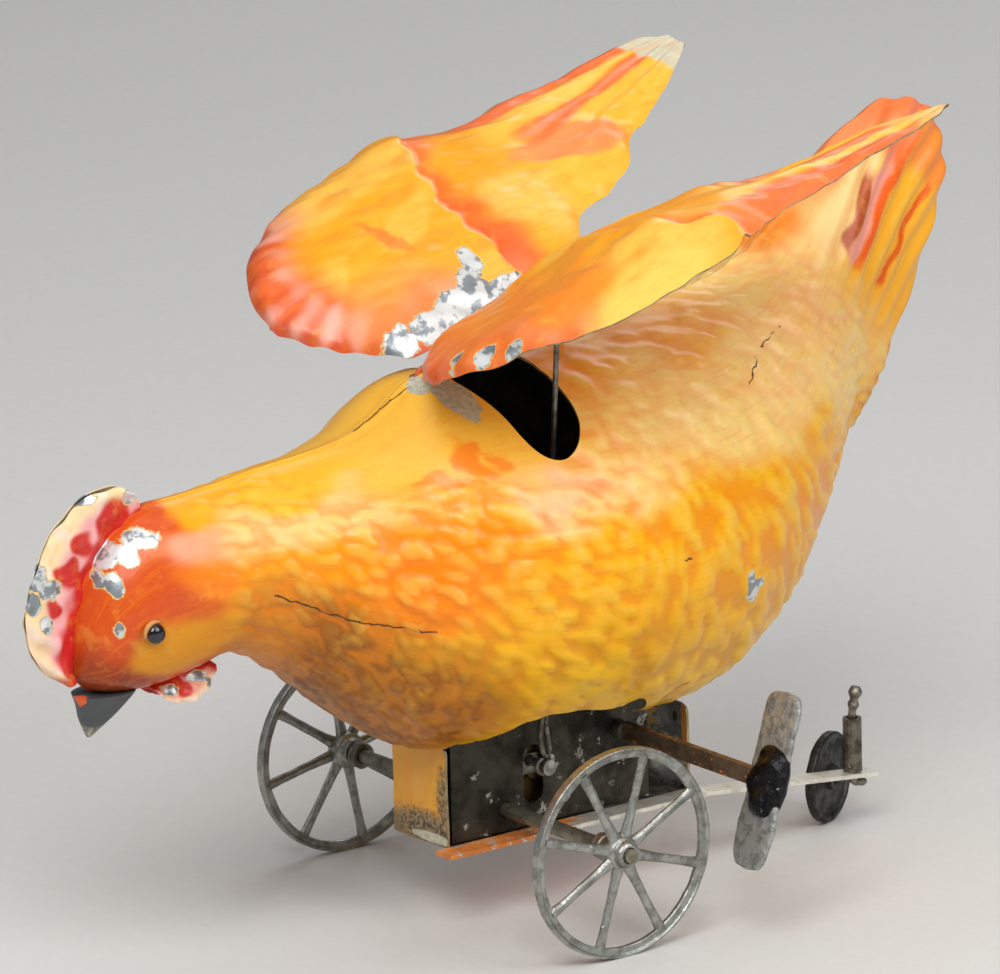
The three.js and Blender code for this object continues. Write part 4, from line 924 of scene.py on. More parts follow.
def wing_paint(s, t, across, front, flute, step, side):
    """Top colours of a wing."""
    at = np.stack([s, t, np.full_like(s, side * 40.0)], -1)
    drift, fine = wobble(at, 14, 61), wobble(at, 5, 62)
    s2, t2 = s + 2.2 * drift + 0.8 * fine, t + 2.2 * wobble(at, 14, 63) + 0.8 * wobble(at, 5, 64)
    paint = Paint(s.shape, (250, 170, 34))
    lay = paint.lay

    def spot(centre, radii, soft=0.35):
        return ellipse(s2 - centre[0], t2 - centre[1], radii, 1 + soft, 1 - soft)

    behind = smooth(-0.2, 0.5, t - step)
    lay((252, 194, 76), smooth(0.1, 0.8, wobble(at, 18, 65)) * 0.7)
    lay((253, 196, 84), spot((54, 22), (8, 24)) * 0.7)
    lay((244, 150, 34), smooth(0.2, 0.9, wobble(at, 9, 66)) * 0.45 * (1 - behind))
    # the salmon front lobe, with pink painted highlights on the crests where the edge is fluted and darker
    # orange in the troughs near the edge
    lobe = smooth(17, 6, front + 3.0 * drift) * smooth(26, 8, t + 0.25 * (s - 30))
    crest = smooth(-0.3, 0.7, 0.5 * flute + 0.7 * wobble(at, 11, 68)) * smooth(14, 6, front)
    lay((230, 98, 50), lobe)
    lay((250, 188, 168), lobe * crest * (0.55 - 0.25 * side))
    lay((206, 76, 34), lobe * smooth(3.4, 1.2, front + 2.2 * flute) * 0.8)
    lay((248, 160, 84), spot((14, 8), (10, 12)) * 0.5)
    if side < 0:
        dab = s2 - 30.9
        lay((242, 128, 50), ellipse(dab, t2 - 19.6 + 0.2 * dab, (8.5, 1.5), 1.2, 0.85) * 0.85)
    else:
        lay((238, 128, 48), spot((33, 6), (24, 15), 0.6) * 0.8)
        lay((242, 136, 36), spot((49, 14), (4.5, 11)) * 0.8)
        lay((252, 200, 88), spot((60, 27), (5, 20)) * 0.9)
        for place in ((47, 27), (52, 21), (41, 33), (55, 33)):
            lay((246, 146, 30), spot(place, (1.5, 3.6), 0.6) * 0.5)
    # behind the step: an orange shadow, then feathers in lengthwise stripes
    past = t - step
    lay((247, 104, 40), behind * smooth(11, 3, past + 2.5 * drift) * smooth(40, 26, s) * 0.95)
    lay((244, 96, 34), behind * smooth(6.5, 0.5, past + 1.5 * drift) * 0.8)
    lay((246, 132, 92), behind * smooth(7, 2, past) * smooth(14, 6, s) * 0.8)
    lay((247, 116, 54), behind * smooth(11, 2, past + 2 * drift) * smooth(44, 56, s) * 0.95)
    lay((246, 158, 30), spot((38, 54), (11, 8)) * behind * 0.8)
    lay((252, 200, 96), spot((22, 52), (9, 9)) * behind * 0.7)
    a = np.clip(across + 0.022 * wobble(at * (1, 0.3, 1), 7, 67), 0, 1)
    lay((253, 190, 66), smooth(52, 66, t2) * 0.8)
    run, width = 0.95 * (t2 - 70.5) - 0.314 * (s2 - 32), 0.95 * (s2 - 32) + 0.314 * (t2 - 70.5)
    lay((242, 140, 84), ellipse(run, width, (14, 4.6), 1.2, 0.85) * 0.9)
    lay((247, 118, 58), smooth(62, 72, t2) * smooth(0.42, 0.47, a) * smooth(0.68, 0.63, a) * 0.95)
    lay((250, 158, 128), smooth(64, 72, t2) * smooth(0.51, 0.54, a) * smooth(0.62, 0.59, a) * 0.6)
    lay((244, 116, 60), smooth(50, 60, t2) * smooth(0.78, 0.84, a))
    lay((254, 200, 92), smooth(66, 76, t2) * smooth(0.67, 0.70, a) * smooth(0.80, 0.77, a) * 0.8)
    if side < 0:
        worn_edge = smooth(0.962, 0.978, a + 0.01 * fine)
        lay((186, 178, 150), worn_edge * smooth(52, 56, t2) * smooth(90, 84, t2))
        lay((206, 200, 172), smooth(105, 107, t2 + 0.10 * (s - 46)))
    else:
        lay((252, 196, 104), smooth(100, 106, t2) * 0.8)
    return paint.colour


def wing_height(flat, u, across, edge, step, flute, side):
    """Height of the pressed wing over its outline: crown, fluted front, step, quills, barbs and dents."""
    t = flat[:, 1]
    height = WING_CROWN * (1 - (2 * across - 1) ** 4) * np.sin(math.pi * u ** 0.65)
    if side > 0:
        height -= 2.6 * smooth(0.66, 1.0, across) * smooth(-4, 14, t) * smooth(50, 42, t)
        height += 4.0 * np.sin(math.pi * across) * smooth(6, 36, t) * smooth(76, 54, t)
    front = smooth(14, 2, t) * (0.75 + 0.4 * wobble(flat, 20, 70))
    height += 0.5 * front * (flute - 0.5) * smooth(9, 2, edge)
    height += 1.0 * smooth(0.7, -0.7, t - step)
    quill = 0.5 + 0.5 * np.cos(across * 2 * math.pi * 4.2 + 0.5 * wobble(flat, 25, 71))
    height += 0.75 * (quill - 0.5) * smooth(6, 26, t - step) * smooth(0, 4, edge)
    barb = 0.5 + 0.5 * np.cos(across * 2 * math.pi * 6.3 + t * 0.05 + 0.9 * wobble(flat, 20, 73))
    height += 0.42 * (barb - 0.5) * smooth(6, 22, t) * smooth(0, -3, t - step) * smooth(0, 4, edge)
    return height + 0.5 * wobble(flat, 17, 72 + side) + 0.16 * wobble(flat, 5, 75 + side)


def wing(name, side, material):
    u, across = unit_grid(WING_ROWS, WING_COLUMNS)
    inner, outer = catmull(WING_INNER, u), catmull(WING_OUTER, u)
    flat = (inner + (outer - inner) * across[..., None]).reshape(-1, 2)
    s, t = flat[:, 0], flat[:, 1]
    across, u = across.ravel(), u.ravel()
    fine = np.linspace(0, 1, 260)
    outline = np.concatenate([catmull(WING_INNER, fine)[::-1], catmull(WING_OUTER, fine)])
    edge, where = outline_distance(flat, outline)
    step = np.interp(s, *WING_STEP) + 0.7 * np.sin(s * 0.55 + side)
    if side > 0:
        step = step + 3.6 * smooth(50, 61, s)
    flute = 0.5 + 0.5 * np.sin(where * 2 * math.pi / 8.4 + 1.2 * np.sin(where * 0.13))
    height = wing_height(flat, u, across, edge, step, flute, side)
    ragged = 0.30 * wobble(np.stack([where, where * 0], -1), 9, 77) * smooth(4, 0, edge) * smooth(3, 8, s)
    local = np.stack([s + ragged, t + 0.5 * ragged, height + WING_SHEET / 2], -1)
    top = wing_paint(s, t, across, np.where(t < 26, edge, 40), flute, step, side)
    under = np.ones_like(top) * linear(226, 158, 60) * (1 + 0.12 * wobble(flat, 15, 79)[:, None])
    under[:, 3] = 1
    points, faces, kinds = sheet(local, grid_triangles(WING_ROWS, WING_COLUMNS), WING_SHEET)
    rolls = [knuckle(start, end, side) for start, end in KNUCKLES[name]]
    roll_points = sum(len(p) for p, _ in rolls)
    roll_faces = sum(len(f) for _, f in rolls)
    flow = np.stack([t, s, np.zeros_like(s)], -1)
    roll_paint = Paint((roll_points,), (238, 150, 60)).colour
    layers = {"paint": np.vstack([top, under, roll_paint]),
              "flow": np.vstack([flow, flow, np.zeros((roll_points, 3))])}
    kinds = np.where(np.concatenate([kinds, np.zeros(roll_faces, int)]) == 2, 1, 0)
    return piece(f"wing_tin_{name}", merge(wing_part(points, faces, side), *rolls), f"wing_{name}",
                 [material, tin_edge], nodes=[f"wing_{name}"], kinds=kinds, layers=layers)


def knuckle(start, end, side):
    """A tab of the wing rolled round the hinge wire."""
    columns, roll_r = 8, 1.5
    turn = np.radians(np.linspace(62, 345, 30))
    roll = np.stack([roll_r * np.cos(turn), roll_r * np.sin(turn)], -1)
    path = np.vstack([[(5.2, 0.62), (4.0, 0.66), (2.6, 0.86), (1.6, 1.18)], roll])
    along = np.tile(np.linspace(start, end, columns), len(path))
    local = np.stack([np.repeat(path[:, 0], columns), along, np.repeat(path[:, 1], columns)], -1)
    points, faces, _ = sheet(local, grid_triangles(len(path), columns), 0.42)
    return wing_part(points, faces, side)


def wing_marks(places, side):
    """Chips given by wing directions (outwards, back) and radii."""
    return [(tuple(wing_place((s, t, h), side)), radii) for s, t, h, radii in places]


wing_enamel = {
    "right": enamel("wing_enamel_right", chips=wing_marks([
        (6.2, 1.6, 2.0, (3.4, 3.8, 5.0)), (5.6, 9.5, 3.0, (2.6, 5.2, 5.0)), (6.6, 17.5, 4.5, (3.6, 4.6, 5.0)),
        (8.0, 23.5, 5.0, (5.6, 3.2, 5.0)), (14.0, 27.5, 6.0, (4.0, 2.0, 5.0)),
        (5.4, 29.5, 4.5, (2.2, 5.5, 5.0)), (60.8, 13.0, 1.0, (1.0, 1.6, 3.0))], -1)),
    "left": enamel("wing_enamel_left", chips=wing_marks([
        (35.4, -8.2, 2.0, (1.8, 3.0, 3.0)), (42.6, -6.0, 2.0, (1.9, 3.4, 3.0)),
        (49.0, -3.2, 2.0, (1.7, 2.4, 2.6)), (3.0, 12.0, 1.0, (1.4, 6.0, 3.0))], 1))}
for side_name, side in SIDES:
    wing(side_name, side, wing_enamel[side_name])

# ---------------------------------------------------------------- head
COMB_EDGE = np.array([
    (-86.1, 106), (-91, 107.6), (-98.3, 106.6), (-103.6, 102.4), (-107, 98.4), (-110.2, 92.8), (-112.2, 87.5),
    (-112.8, 81.7), (-111.9, 76.6), (-108.6, 71.8), (-103.4, 67.6)])
EYE = {"u": 0.1, "angle": math.radians(98), "r": 2.1, "flat": 0.6}


def comb():
    """Two crimped leaves of tin, closed at the rim except near the top."""
    rows, columns = 150, 34
    u, v = unit_grid(rows, columns)
    crimp = u * 2 * math.pi * 5.5 + 0.8
    edge = catmull(COMB_EDGE, u)
    scallop = 0.16 * np.cos(crimp) + 0.35 * wobble(edge, 7, 87)
    root = catmull(np.vstack([STATIONS[3::-1, 0:2], STATIONS[0, 2:4]]), u)
    root = root + unit(np.array((-82, 78)) - root) * 0.5
    edge = edge + unit(edge - root) * scallop[..., None]
    yz = root + (edge - root) * v[..., None]
    rib = 0.5 + 0.5 * np.cos(crimp + 1.0 * v + 0.9 * wobble(yz, 14, 88))
    gap = 0.75 * smooth(0.36, 0.12, u) * smooth(0.6, 1.0, v)
    bulge = 0.55 + 0.55 * np.sin(math.pi * v) + 0.62 * rib * smooth(0.15, 0.65, v) * smooth(1.15, 0.8, v) \
        + gap - 0.35 * smooth(0.85, 1, v)
    outer = comb_paint(u, v, yz, rib).reshape(-1, 4)
    inner = Paint((len(outer),), (196, 176, 140)).colour
    leaves = []
    for _, side in SIDES:
        x = np.maximum(bulge + 0.25 * wobble(yz, 5, 81 + side), 0.34)
        surface = np.stack([x, yz[..., 0], yz[..., 1]], -1).reshape(-1, 3)
        leaves.append(on_side(sheet(surface, grid_triangles(rows, columns), 0.3)[:2], side))
    layers = {"paint": np.vstack([outer, inner] * 2), "flow": np.zeros((4 * len(outer), 3))}
    return piece("comb_leaves", merge(*leaves), "carriage", [comb_enamel], nodes=["comb"],
                 layers=layers, sharp=70)


def comb_paint(u, v, yz, rib):
    at = yz + 0.9 * np.stack([wobble(yz, 5, 83), wobble(yz, 5, 84)], -1)
    rim = v + 0.05 * wobble(yz, 4, 85)
    paint = Paint(u.shape, (246, 176, 176))
    paint.lay((244, 218, 170), smooth(0.55, 0.80, rim))
    paint.lay((244, 212, 172), smooth(0.62, 0.80, u) * smooth(0.42, 0.6, rim))
    paint.lay((248, 222, 212), smooth(0.6, 1.0, rib) * smooth(0.3, 0.6, v) * 0.5)
    for y, z, r in ((-90.6, 102.0, 3.6), (-93.4, 100.4, 2.6), (-99.4, 96.8, 2.7), (-102.2, 91.6, 2.9),
                    (-106.5, 84.5, 2.2)):
        paint.lay((206, 44, 40), ellipse(at[..., 0] - y, at[..., 1] - z, (r, r), 1.25, 0.75))
    paint.lay((208, 40, 40), smooth(0.34, 0.16, rim - 0.16 * smooth(0.5, 0.8, u)))
    paint.lay((206, 36, 40), smooth(0.90, 0.97, u))
    return paint.colour


comb_enamel = enamel("comb_enamel", chips=[
    ((0.5, -110.0, 92.2), (4, 2.1, 3.0)), ((0.5, -107.2, 89.4), (4, 2.6, 2.2)),
    ((0.5, -111.0, 86.6), (4, 1.6, 2.4)), ((0.5, -108.4, 82.0), (4, 1.5, 2.0)),
    ((0.5, -98.2, 106.4), (4, 3.0, 1.1)), ((0.5, -87.0, 105.2), (4, 1.6, 1.6))])
comb()

wattle_enamel = enamel("wattle_enamel", chips=[
    ((1.8, -80.4, 63.2), (4, 2.4, 1.0)), ((1.8, -73.2, 64.8), (4, 2.2, 1.0)),
    ((1.8, -71.2, 63.4), (4, 0.9, 1.4))])


def wattle(name, side):
    """A crinkled leaf under the jaw, bowed outwards."""
    rows, columns = 60, 26
    u, v = unit_grid(rows, columns)
    top = catmull([(-84.2, 64.4), (-79.6, 65.4), (-74.2, 66.4), (-69.4, 67.4)], u)
    low = catmull([(-84.0, 63.6), (-80.8, 61.2), (-76.6, 60.2), (-72.8, 61.0), (-70.0, 63.6),
                   (-69.0, 66.6)], u)
    yz = top + (low - top) * v[..., None]
    crinkle = 0.5 * np.sin(u * 2 * math.pi * 4.5) * smooth(0.1, 0.9, v) + 0.35 * wobble(yz, 4, 91 + side)
    x = 1.6 + 2.6 * np.sin(v * math.pi * 0.62) + crinkle
    surface = np.stack([x, yz[..., 0], yz[..., 1]], -1).reshape(-1, 3)
    leaf = on_side(sheet(surface, grid_triangles(rows, columns), 0.3)[:2], side)
    rim = v + 0.08 * wobble(yz, 4, 93)
    paint = Paint(u.shape, (240, 160, 140))
    paint.lay((200, 40, 40), smooth(0.38, 0.2, rim))
    paint.lay((206, 44, 44), smooth(0.84, 0.95, u))
    paint.lay((252, 220, 190), smooth(0.62, 0.85, rim) * smooth(0.95, 0.8, u))
    paint.lay((206, 48, 44), ellipse(yz[..., 0] + 77, (yz[..., 1] - 63) * 1.2, (2, 2), 1.2, 0.8))
    colours = np.vstack([paint.colour.reshape(-1, 4), Paint((len(surface),), (196, 60, 52)).colour])
    return piece(f"wattle_leaf_{name}", leaf, "carriage", [wattle_enamel],
                 nodes=[f"wattle_{name}"], layers={"paint": colours, "flow": np.zeros((len(colours), 3))},
                 sharp=70)


def beak():
    levels = np.array([  # y, z, half length, half width
        (-94.2, 65.4, 7.2, 5.6), (-94.6, 64.2, 6.6, 5.2), (-95.8, 61.6, 4.9, 3.9), (-97.1, 59.0, 2.9, 2.3),
        (-98.1, 57.0, 1.25, 1.1), (-98.5, 56.3, 0.5, 0.45)])
    rows, around = 60, 64
    turn = circle(around)[None, :]
    row = catmull(levels, np.linspace(0, 1, rows)[:, None] * np.ones_like(turn))
    seam = 1 - 0.05 * np.exp(-((np.sin(turn) - 1) / 0.02) ** 2)
    x = row[..., 3] * np.cos(turn) * seam
    y = row[..., 0] + row[..., 2] * np.sin(turn) * seam
    points = np.stack([x, y, row[..., 1]], -1)
    points = (points + (0.12 * wobble(points, 4, 95))[..., None] * (1, 1, 0)).reshape(-1, 3)
    count = rows * around
    triangles = np.vstack([
        grid_triangles(rows, around, closed=True), fan(np.arange(around), count, True),
        fan(np.arange(count - around, count), count + 1, False)])
    points = np.vstack([points, points[:around].mean(0), points[-around:].mean(0)])
    return piece("beak_cone", (points, triangles), "carriage", [beak_enamel], nodes=["beak"],
                 sharp=60)


def beak_paint_material():
    s = Shader("beak_enamel")
    clouds = s.noise(2.4, 5, seed=2, rough=0.6)
    colour = s.mix(clouds, linear(58, 62, 66), linear(84, 86, 86))
    height = s.math("ADD", s.height_above_floor(), s.math("MULTIPLY", clouds, 1.6))
    tip = s.between(60.4, 58.2, height)
    worn = s.math("MULTIPLY", tip, s.between(0.35, 0.6, s.noise(1.1, 5, seed=8, rough=0.7)))
    colour = s.mix(worn, colour, linear(186, 182, 160))
    drip = s.blob((1.2, -101.2, 65.4), (1.7, 1.7, 1.9), 0.5, 1.0, 0.06, seed=3)
    colour = s.mix(drip, colour, linear(226, 92, 34))
    return s.finish(Base_Color=colour, Roughness=s.math("MULTIPLY_ADD", clouds, 0.2, 0.36),
                    Metallic=s.math("MULTIPLY", worn, 0.6), Normal=s.bump(clouds, 0.12))


beak_enamel = beak_paint_material()
beak()
for side_name, side in SIDES:
    wattle(side_name, side)


def eye(name, side):
    """A glossy bead with a painted lid in front of and above it."""
    at = body_surface(np.array([EYE["u"]]), np.array([EYE["angle"]]))[0]
    r = EYE["r"]
    turn = np.linspace(0, math.pi, 30)
    bead = lathe(np.stack([r * np.sin(turn) + 1e-4, r * EYE["flat"] * np.cos(turn)], -1), 40)
    piece(f"eye_bead_{name}", on_side(shifted(bead, at + (0.95, 0, 0)), side), "carriage",
          [bead_black], nodes=[f"eye_{name}"])
    count, lid_r = 34, 2.5
    swing = np.radians(np.linspace(58, 196, count))
    swell = np.sin(np.linspace(0, math.pi, count)) ** 0.6
    path = at + np.stack([np.full(count, 0.6), lid_r * np.cos(swing), lid_r * np.sin(swing)], -1)
    lid = on_side(tube(path, 0.1 + 0.46 * swell, 14), side)
    tones = Paint((len(lid[0]),), (204, 142, 84)).colour
    piece(f"eye_lid_{name}", lid, "carriage", [body_enamel],
          layers={"paint": tones, "flow": np.zeros((len(tones), 3))})


for side_name, side in SIDES:
    eye(side_name, side)

# ---------------------------------------------------------------- front wheels
WHEEL = {"r": 22.5, "x": 49, "bore": 1.62, "spokes": 8, "start": {"left": 27.4, "right": 11.2}}
SPOKE_WIDE = (1.45, 1.1, 1.02, 1.0, 1.02, 1.3)
SPOKE_THICK = (0.9, 0.8, 0.72, 0.7, 0.8)
AXLE_Z = 22.5


def oval_bar(start, end, wide, thick, segments=16, steps=14):
    """A cast spoke between two places in the YZ plane; its half widths are spread evenly from end to end."""
    f = np.linspace(0, 1, steps)
    across = np.cross((1, 0, 0), unit(end - start))
    turn = circle(segments)
    w = np.interp(f, np.linspace(0, 1, len(wide)), wide)
    h = np.interp(f, np.linspace(0, 1, len(thick)), thick)
    points = (start + (end - start) * f[:, None])[:, None, :] \
        + (w[:, None] * np.cos(turn))[..., None] * across + (h[:, None] * np.sin(turn))[..., None] * (1, 0, 0)
    return points.reshape(-1, 3), grid_triangles(steps, segments, closed=True)


def wheel(name, side):
    r, bore = WHEEL["r"], WHEEL["bore"]
    rim = rounded([(r - 2.2, -0.55), (r - 0.75, -0.7), (r - 0.45, -1.1), (r, -1.05), (r, 1.05),
                   (r - 0.45, 1.1), (r - 0.75, 0.7), (r - 2.2, 0.55)], 0.28)
    hub = rounded([(bore, -4.2), (2.9, -4.2), (3.0, -2.5), (3.9, -1.9), (4.0, -0.2), (3.5, 1.1), (2.9, 1.3),
                   (2.7, 2.5), (2.2, 2.9), (bore, 2.95)], 0.3)
    parts = [lathe(rim, 120), lathe(hub, 60)]
    for k in range(WHEEL["spokes"]):
        a = math.radians(WHEEL["start"][name] + 360 * k / WHEEL["spokes"])
        out = np.array((0, math.cos(a), math.sin(a)))
        parts.append(oval_bar(out * 3.2, out * (r - 1.6), SPOKE_WIDE, SPOKE_THICK))
    part = shifted(roughened(merge(*parts), 3.2, 0.05, 101 + side), (WHEEL["x"], 0, AXLE_Z))
    piece(f"cast_wheel_{name}", on_side(part, side), "axle", [cast],
          nodes=[f"front_wheel_{name}"], sharp=38)


def axle_collar(name, side):
    bore = WHEEL["bore"]
    ring = rounded([(bore, 41.8), (2.5, 41.8), (2.9, 42.2), (2.75, 43.1), (2.9, 44.1), (2.5, 44.5),
                    (bore, 44.5)], 0.3)
    part = shifted(roughened(lathe(ring, 48), 2.4, 0.06, 105), (0, 0, AXLE_Z))
    piece(f"turned_collar_{name}", on_side(part, side), "axle", [axle_metal],
          nodes=[f"axle_collar_{name}"])


for side_name, side in SIDES:
    wheel(side_name, side)
    axle_collar(side_name, side)

# ---------------------------------------------------------------- steering wheel at the rear
STEER = {"x": 12.3, "y": 91.2, "angle": math.radians(26), "trail": 3.6, "offset": 9}
STEER_COS, STEER_SIN = math.cos(STEER["angle"]), math.sin(STEER["angle"])
REAR_R = 10


def steer_axle(distance):
    """A place on the rear wheel's axle, measured from the upright wire towards the wheel."""
    foot_y = STEER["y"] + STEER["trail"]
    return np.array((STEER["x"] - STEER_COS * distance, foot_y - STEER_SIN * distance, REAR_R))


def rear_wheel():
    profile = rounded([(1.15, -1.8), (2.6, -1.8), (2.8, -0.7), (8.2, -0.5), (8.7, -1.05), (9.5, -1.1),
                       (10, -0.8), (10, 0.8), (9.5, 1.1), (8.7, 1.05), (8.2, 0.5), (2.8, 0.7), (2.6, 1.8),
                       (1.15, 1.8)], 0.22)
    points, faces = roughened(lathe(profile, 84), 2.6, 0.04, 111)
    turn = np.array(((STEER_COS, STEER_SIN, 0), (-STEER_SIN, STEER_COS, 0), (0, 0, 1)))
    return piece("pressed_rear_wheel", (points @ turn + steer_axle(STEER["offset"]), faces), "rear_wheel",
                 [rear_metal], nodes=["rear_wheel"])


def steering_wire():
    """The wire that turns the rear wheel: a lumpy handle, the pivot in its tube, then the crank to the
    axle."""
    x, y = STEER["x"], STEER["y"]
    path = bent([(x + 0.9, y + 0.5, 32.2), (x + 0.4, y + 0.2, 28.6), (x, y, 26.0), (x, y, 10.4),
                 steer_axle(0), steer_axle(12)], 1.4, 0.4)
    z = path[:, 2]
    lumps = 0.75 * np.exp(-((z - 31.0) / 1.0) ** 2) + 0.45 * np.exp(-((z - 28.2) / 0.8) ** 2)
    part = tube(path, 0.8 + lumps * (path[:, 0] > x - 1), 16)
    return piece("bent_steering_wire", roughened(part, 1.6, 0.07, 113), "steering", [old_wire],
                 nodes=["steering_wire"])


rear_wheel()
steering_wire()

# ---------------------------------------------------------------- carriage
CARRIAGE = {"half": 9.4, "front": -15.8, "rear": 48.8, "base": BASE_Z, "front_top": 39.5, "rear_top": 36}
carriage_enamel = enamel(
    "carriage_enamel", soot=[((2, -15.8, 20.5), (10, 2.5, 3.6)), ((8.5, -15.8, 26), (2.2, 2.5, 8))],
    chips=[((8.2, 48.6, 30.5), (0.9, 2, 2.6))], grey=[((4, -15.8, 18.4), (6.5, 2.5, 1.1))])


def carriage_frame():
    """One strip of tin bent up at the front and the rear, with rounded corners at its ends."""
    c = CARRIAGE
    path = bent([(0, c["front"], c["front_top"]), (0, c["front"], c["base"]), (0, c["rear"], c["base"]),
                 (0, c["rear"], c["rear_top"])], 1.2, 0.6)
    rows, columns = len(path), 41
    distance = np.concatenate([[0], np.linalg.norm(np.diff(path, axis=0), axis=1).cumsum()])
    to_end = np.minimum(distance, distance[-1] - distance)
    corner = 2.2
    cut = corner - np.sqrt(np.maximum(corner ** 2 - (corner - to_end) ** 2, 0))
    width = c["half"] - np.where(to_end < corner, cut, 0)
    points = np.repeat(path[:, None, :], columns, 1)
    points[..., 0] = width[:, None] * np.linspace(-1, 1, columns)
    normal = np.cross((1.0, 0, 0), unit(np.gradient(path, axis=0)))
    dent = 0.14 * wobble(points, 13, 121) * smooth(0, 6, to_end)[:, None]
    flat = (points + normal[:, None, :] * dent[..., None]).reshape(-1, 3)
    triangles = grid_triangles(rows, columns)
    if vertex_normals(flat, triangles)[columns * (rows // 2) + columns // 2, 2] > 0:
        triangles = triangles[:, ::-1]
    shell, faces, kinds = sheet(flat, triangles, 0.6)
    y, z = flat[:, 1], flat[:, 2]
    paint = Paint(z.shape, (238, 168, 50))
    paint.lay((244, 178, 78), smooth(0.1, 0.9, wobble(flat, 9, 124)) * 0.6)
    paint.lay((128, 110, 70), smooth(24.5, 19.5, z + 2.0 * wobble(flat, 6, 123)) * smooth(0, -8, y))
    paint.lay((214, 104, 30), smooth(20, 17.4, z) * smooth(-8, 0, y) * 0.9)
    paint.lay((220, 142, 52), smooth(30, 44, y) * 0.6)
    flow = np.stack([z + y, flat[:, 0], 0 * z], -1)
    return piece("bent_carriage", (shell, faces), "carriage",
                 [carriage_enamel, carriage_inside, tin_edge], nodes=["carriage_frame"], kinds=kinds,
                 layers={"paint": np.vstack([paint.colour] * 2), "flow": np.vstack([flow, flow])})


def carriage_inside_material():
    """Mottled tin with a bright patch low on the rear flap, a margin of overspray, and a near-black spot
    painted as the shade in a small hole.
    """
    s = Shader("carriage_inside")
    clouds = s.between(0.35, 0.68, s.noise(5.0, 6, seed=3, rough=0.68))
    fine = s.noise(0.7, 4, seed=6)
    bright = s.blob((3, 48, 22.5), (6.5, 3.0, 5.0), 0.5, 3.0, 0.2, seed=4)
    over = s.blob((9.4, 48, 32), (1.9, 3.0, 9.0), 0.4, 2.0, 0.1, seed=7)
    # painted shade: a near-black spot stands for a small hole in the flap
    hole = s.blob((5.4, 48, 32.6), (0.8, 2.0, 1.2), 0.4, 1.0, 0.1, seed=9)
    colour = s.mix(clouds, linear(150, 150, 142), linear(70, 66, 58))
    for mask, shade in ((s.between(0.62, 0.7, fine), (206, 206, 198)), (bright, (232, 232, 226)),
                        (over, (224, 146, 52)), (hole, (20, 18, 16))):
        colour = s.mix(mask, colour, linear(*shade))
    shine = s.math("SUBTRACT", 0.85, s.math("MULTIPLY", s.most(over, hole), 0.85), clamp=True)
    return s.finish(Base_Color=colour, Metallic=shine, Roughness=s.math("MULTIPLY_ADD", clouds, 0.22, 0.34),
                    Normal=s.bump(fine, 0.05))


carriage_inside = carriage_inside_material()
carriage_frame()

# ---------------------------------------------------------------- pushrods
LIFT = {"x": 12.7, "y": 7.4, "z": 31.5}
ROD_TOP = {"s": 21.1, "t": 22.6, "n": -3}
ROD_R = 0.6


def pushrod(name, side):
    """Spring wire: a loop round the lifter pin whose tail turns back up, and a hook in the wing's lug."""
    pin = wing_place((ROD_TOP["s"], ROD_TOP["t"], ROD_TOP["n"]), 1)
    top = pin + HINGE_BACK * ((LIFT["y"] - pin[1]) / HINGE_BACK[1])
    x, y, z = LIFT["x"], LIFT["y"], LIFT["z"]
    loop_r, hook_r, tail_r = 1.65, 1.62, ROD_R * 0.9
    loop = [(x + 0.25 * math.sin(a / 2), y - loop_r * math.sin(a), z - loop_r * math.cos(a))
            for a in np.radians(np.linspace(330, 0, 40))]
    hook = [top + (hook_r * math.sin(a), 0.1 * math.sin(a / 2), hook_r * math.cos(a))
            for a in np.radians(np.linspace(180, 490, 40))]
    rise = np.array((x + 0.4, y + 0.5, z + 9.5))
    upper = [rise + (top + (0, 0, -3.0) - rise) * f for f in np.linspace(0.1, 1, 24)]
    rod = bent([*loop, (x - 0.3, y + 1.9, z + 3.2), rise, *upper, *hook], 0.6, 0.6)
    tail = bent([(x + 0.7, y + 1.0, z + 1.5), (x + 1.1, y - 0.9, z + 3.0), (x + 1.1, y - 1.5, z + 7.2),
                 (x + 0.9, y - 0.3, z + 12.5)], 1.6, 0.5)
    part = on_side(merge(tube(rod, ROD_R, 12), tube(tail, tail_r, 12)), side)
    return piece(f"spring_rod_{name}", part, "lifter", [old_wire], nodes=[f"pushrod_{name}"])


for side_name, side in SIDES:
    pushrod(side_name, side)

# ---------------------------------------------------------------- winding key
KEY = {"x": 60, "y": 30, "z": 34.5, "length": 38, "width": 11.3, "thickness": 2.0,
       "lean": math.radians(18)}


def key_place(local):
    """Key directions (across the blade, along it, out along the arbor) as places."""
    across = np.array((1, 0, 0))
    along = np.array((0, math.sin(KEY["lean"]), math.cos(KEY["lean"])))
    return local @ np.array((across, along, np.cross(across, along))) + (KEY["x"], KEY["y"], KEY["z"])


def key_piece(name, local, rows, around, lumps, material, node, sharp):
    """A part of the key from a closed grid of points in key directions, made uneven by the lumps."""
    part = (local.reshape(-1, 3), grid_triangles(rows, around, closed=True))
    for size, depth, seed in lumps:
        part = roughened(part, size, depth, seed)
    return piece(name, (key_place(part[0]), part[1]), "key", [material], nodes=[node], sharp=sharp)


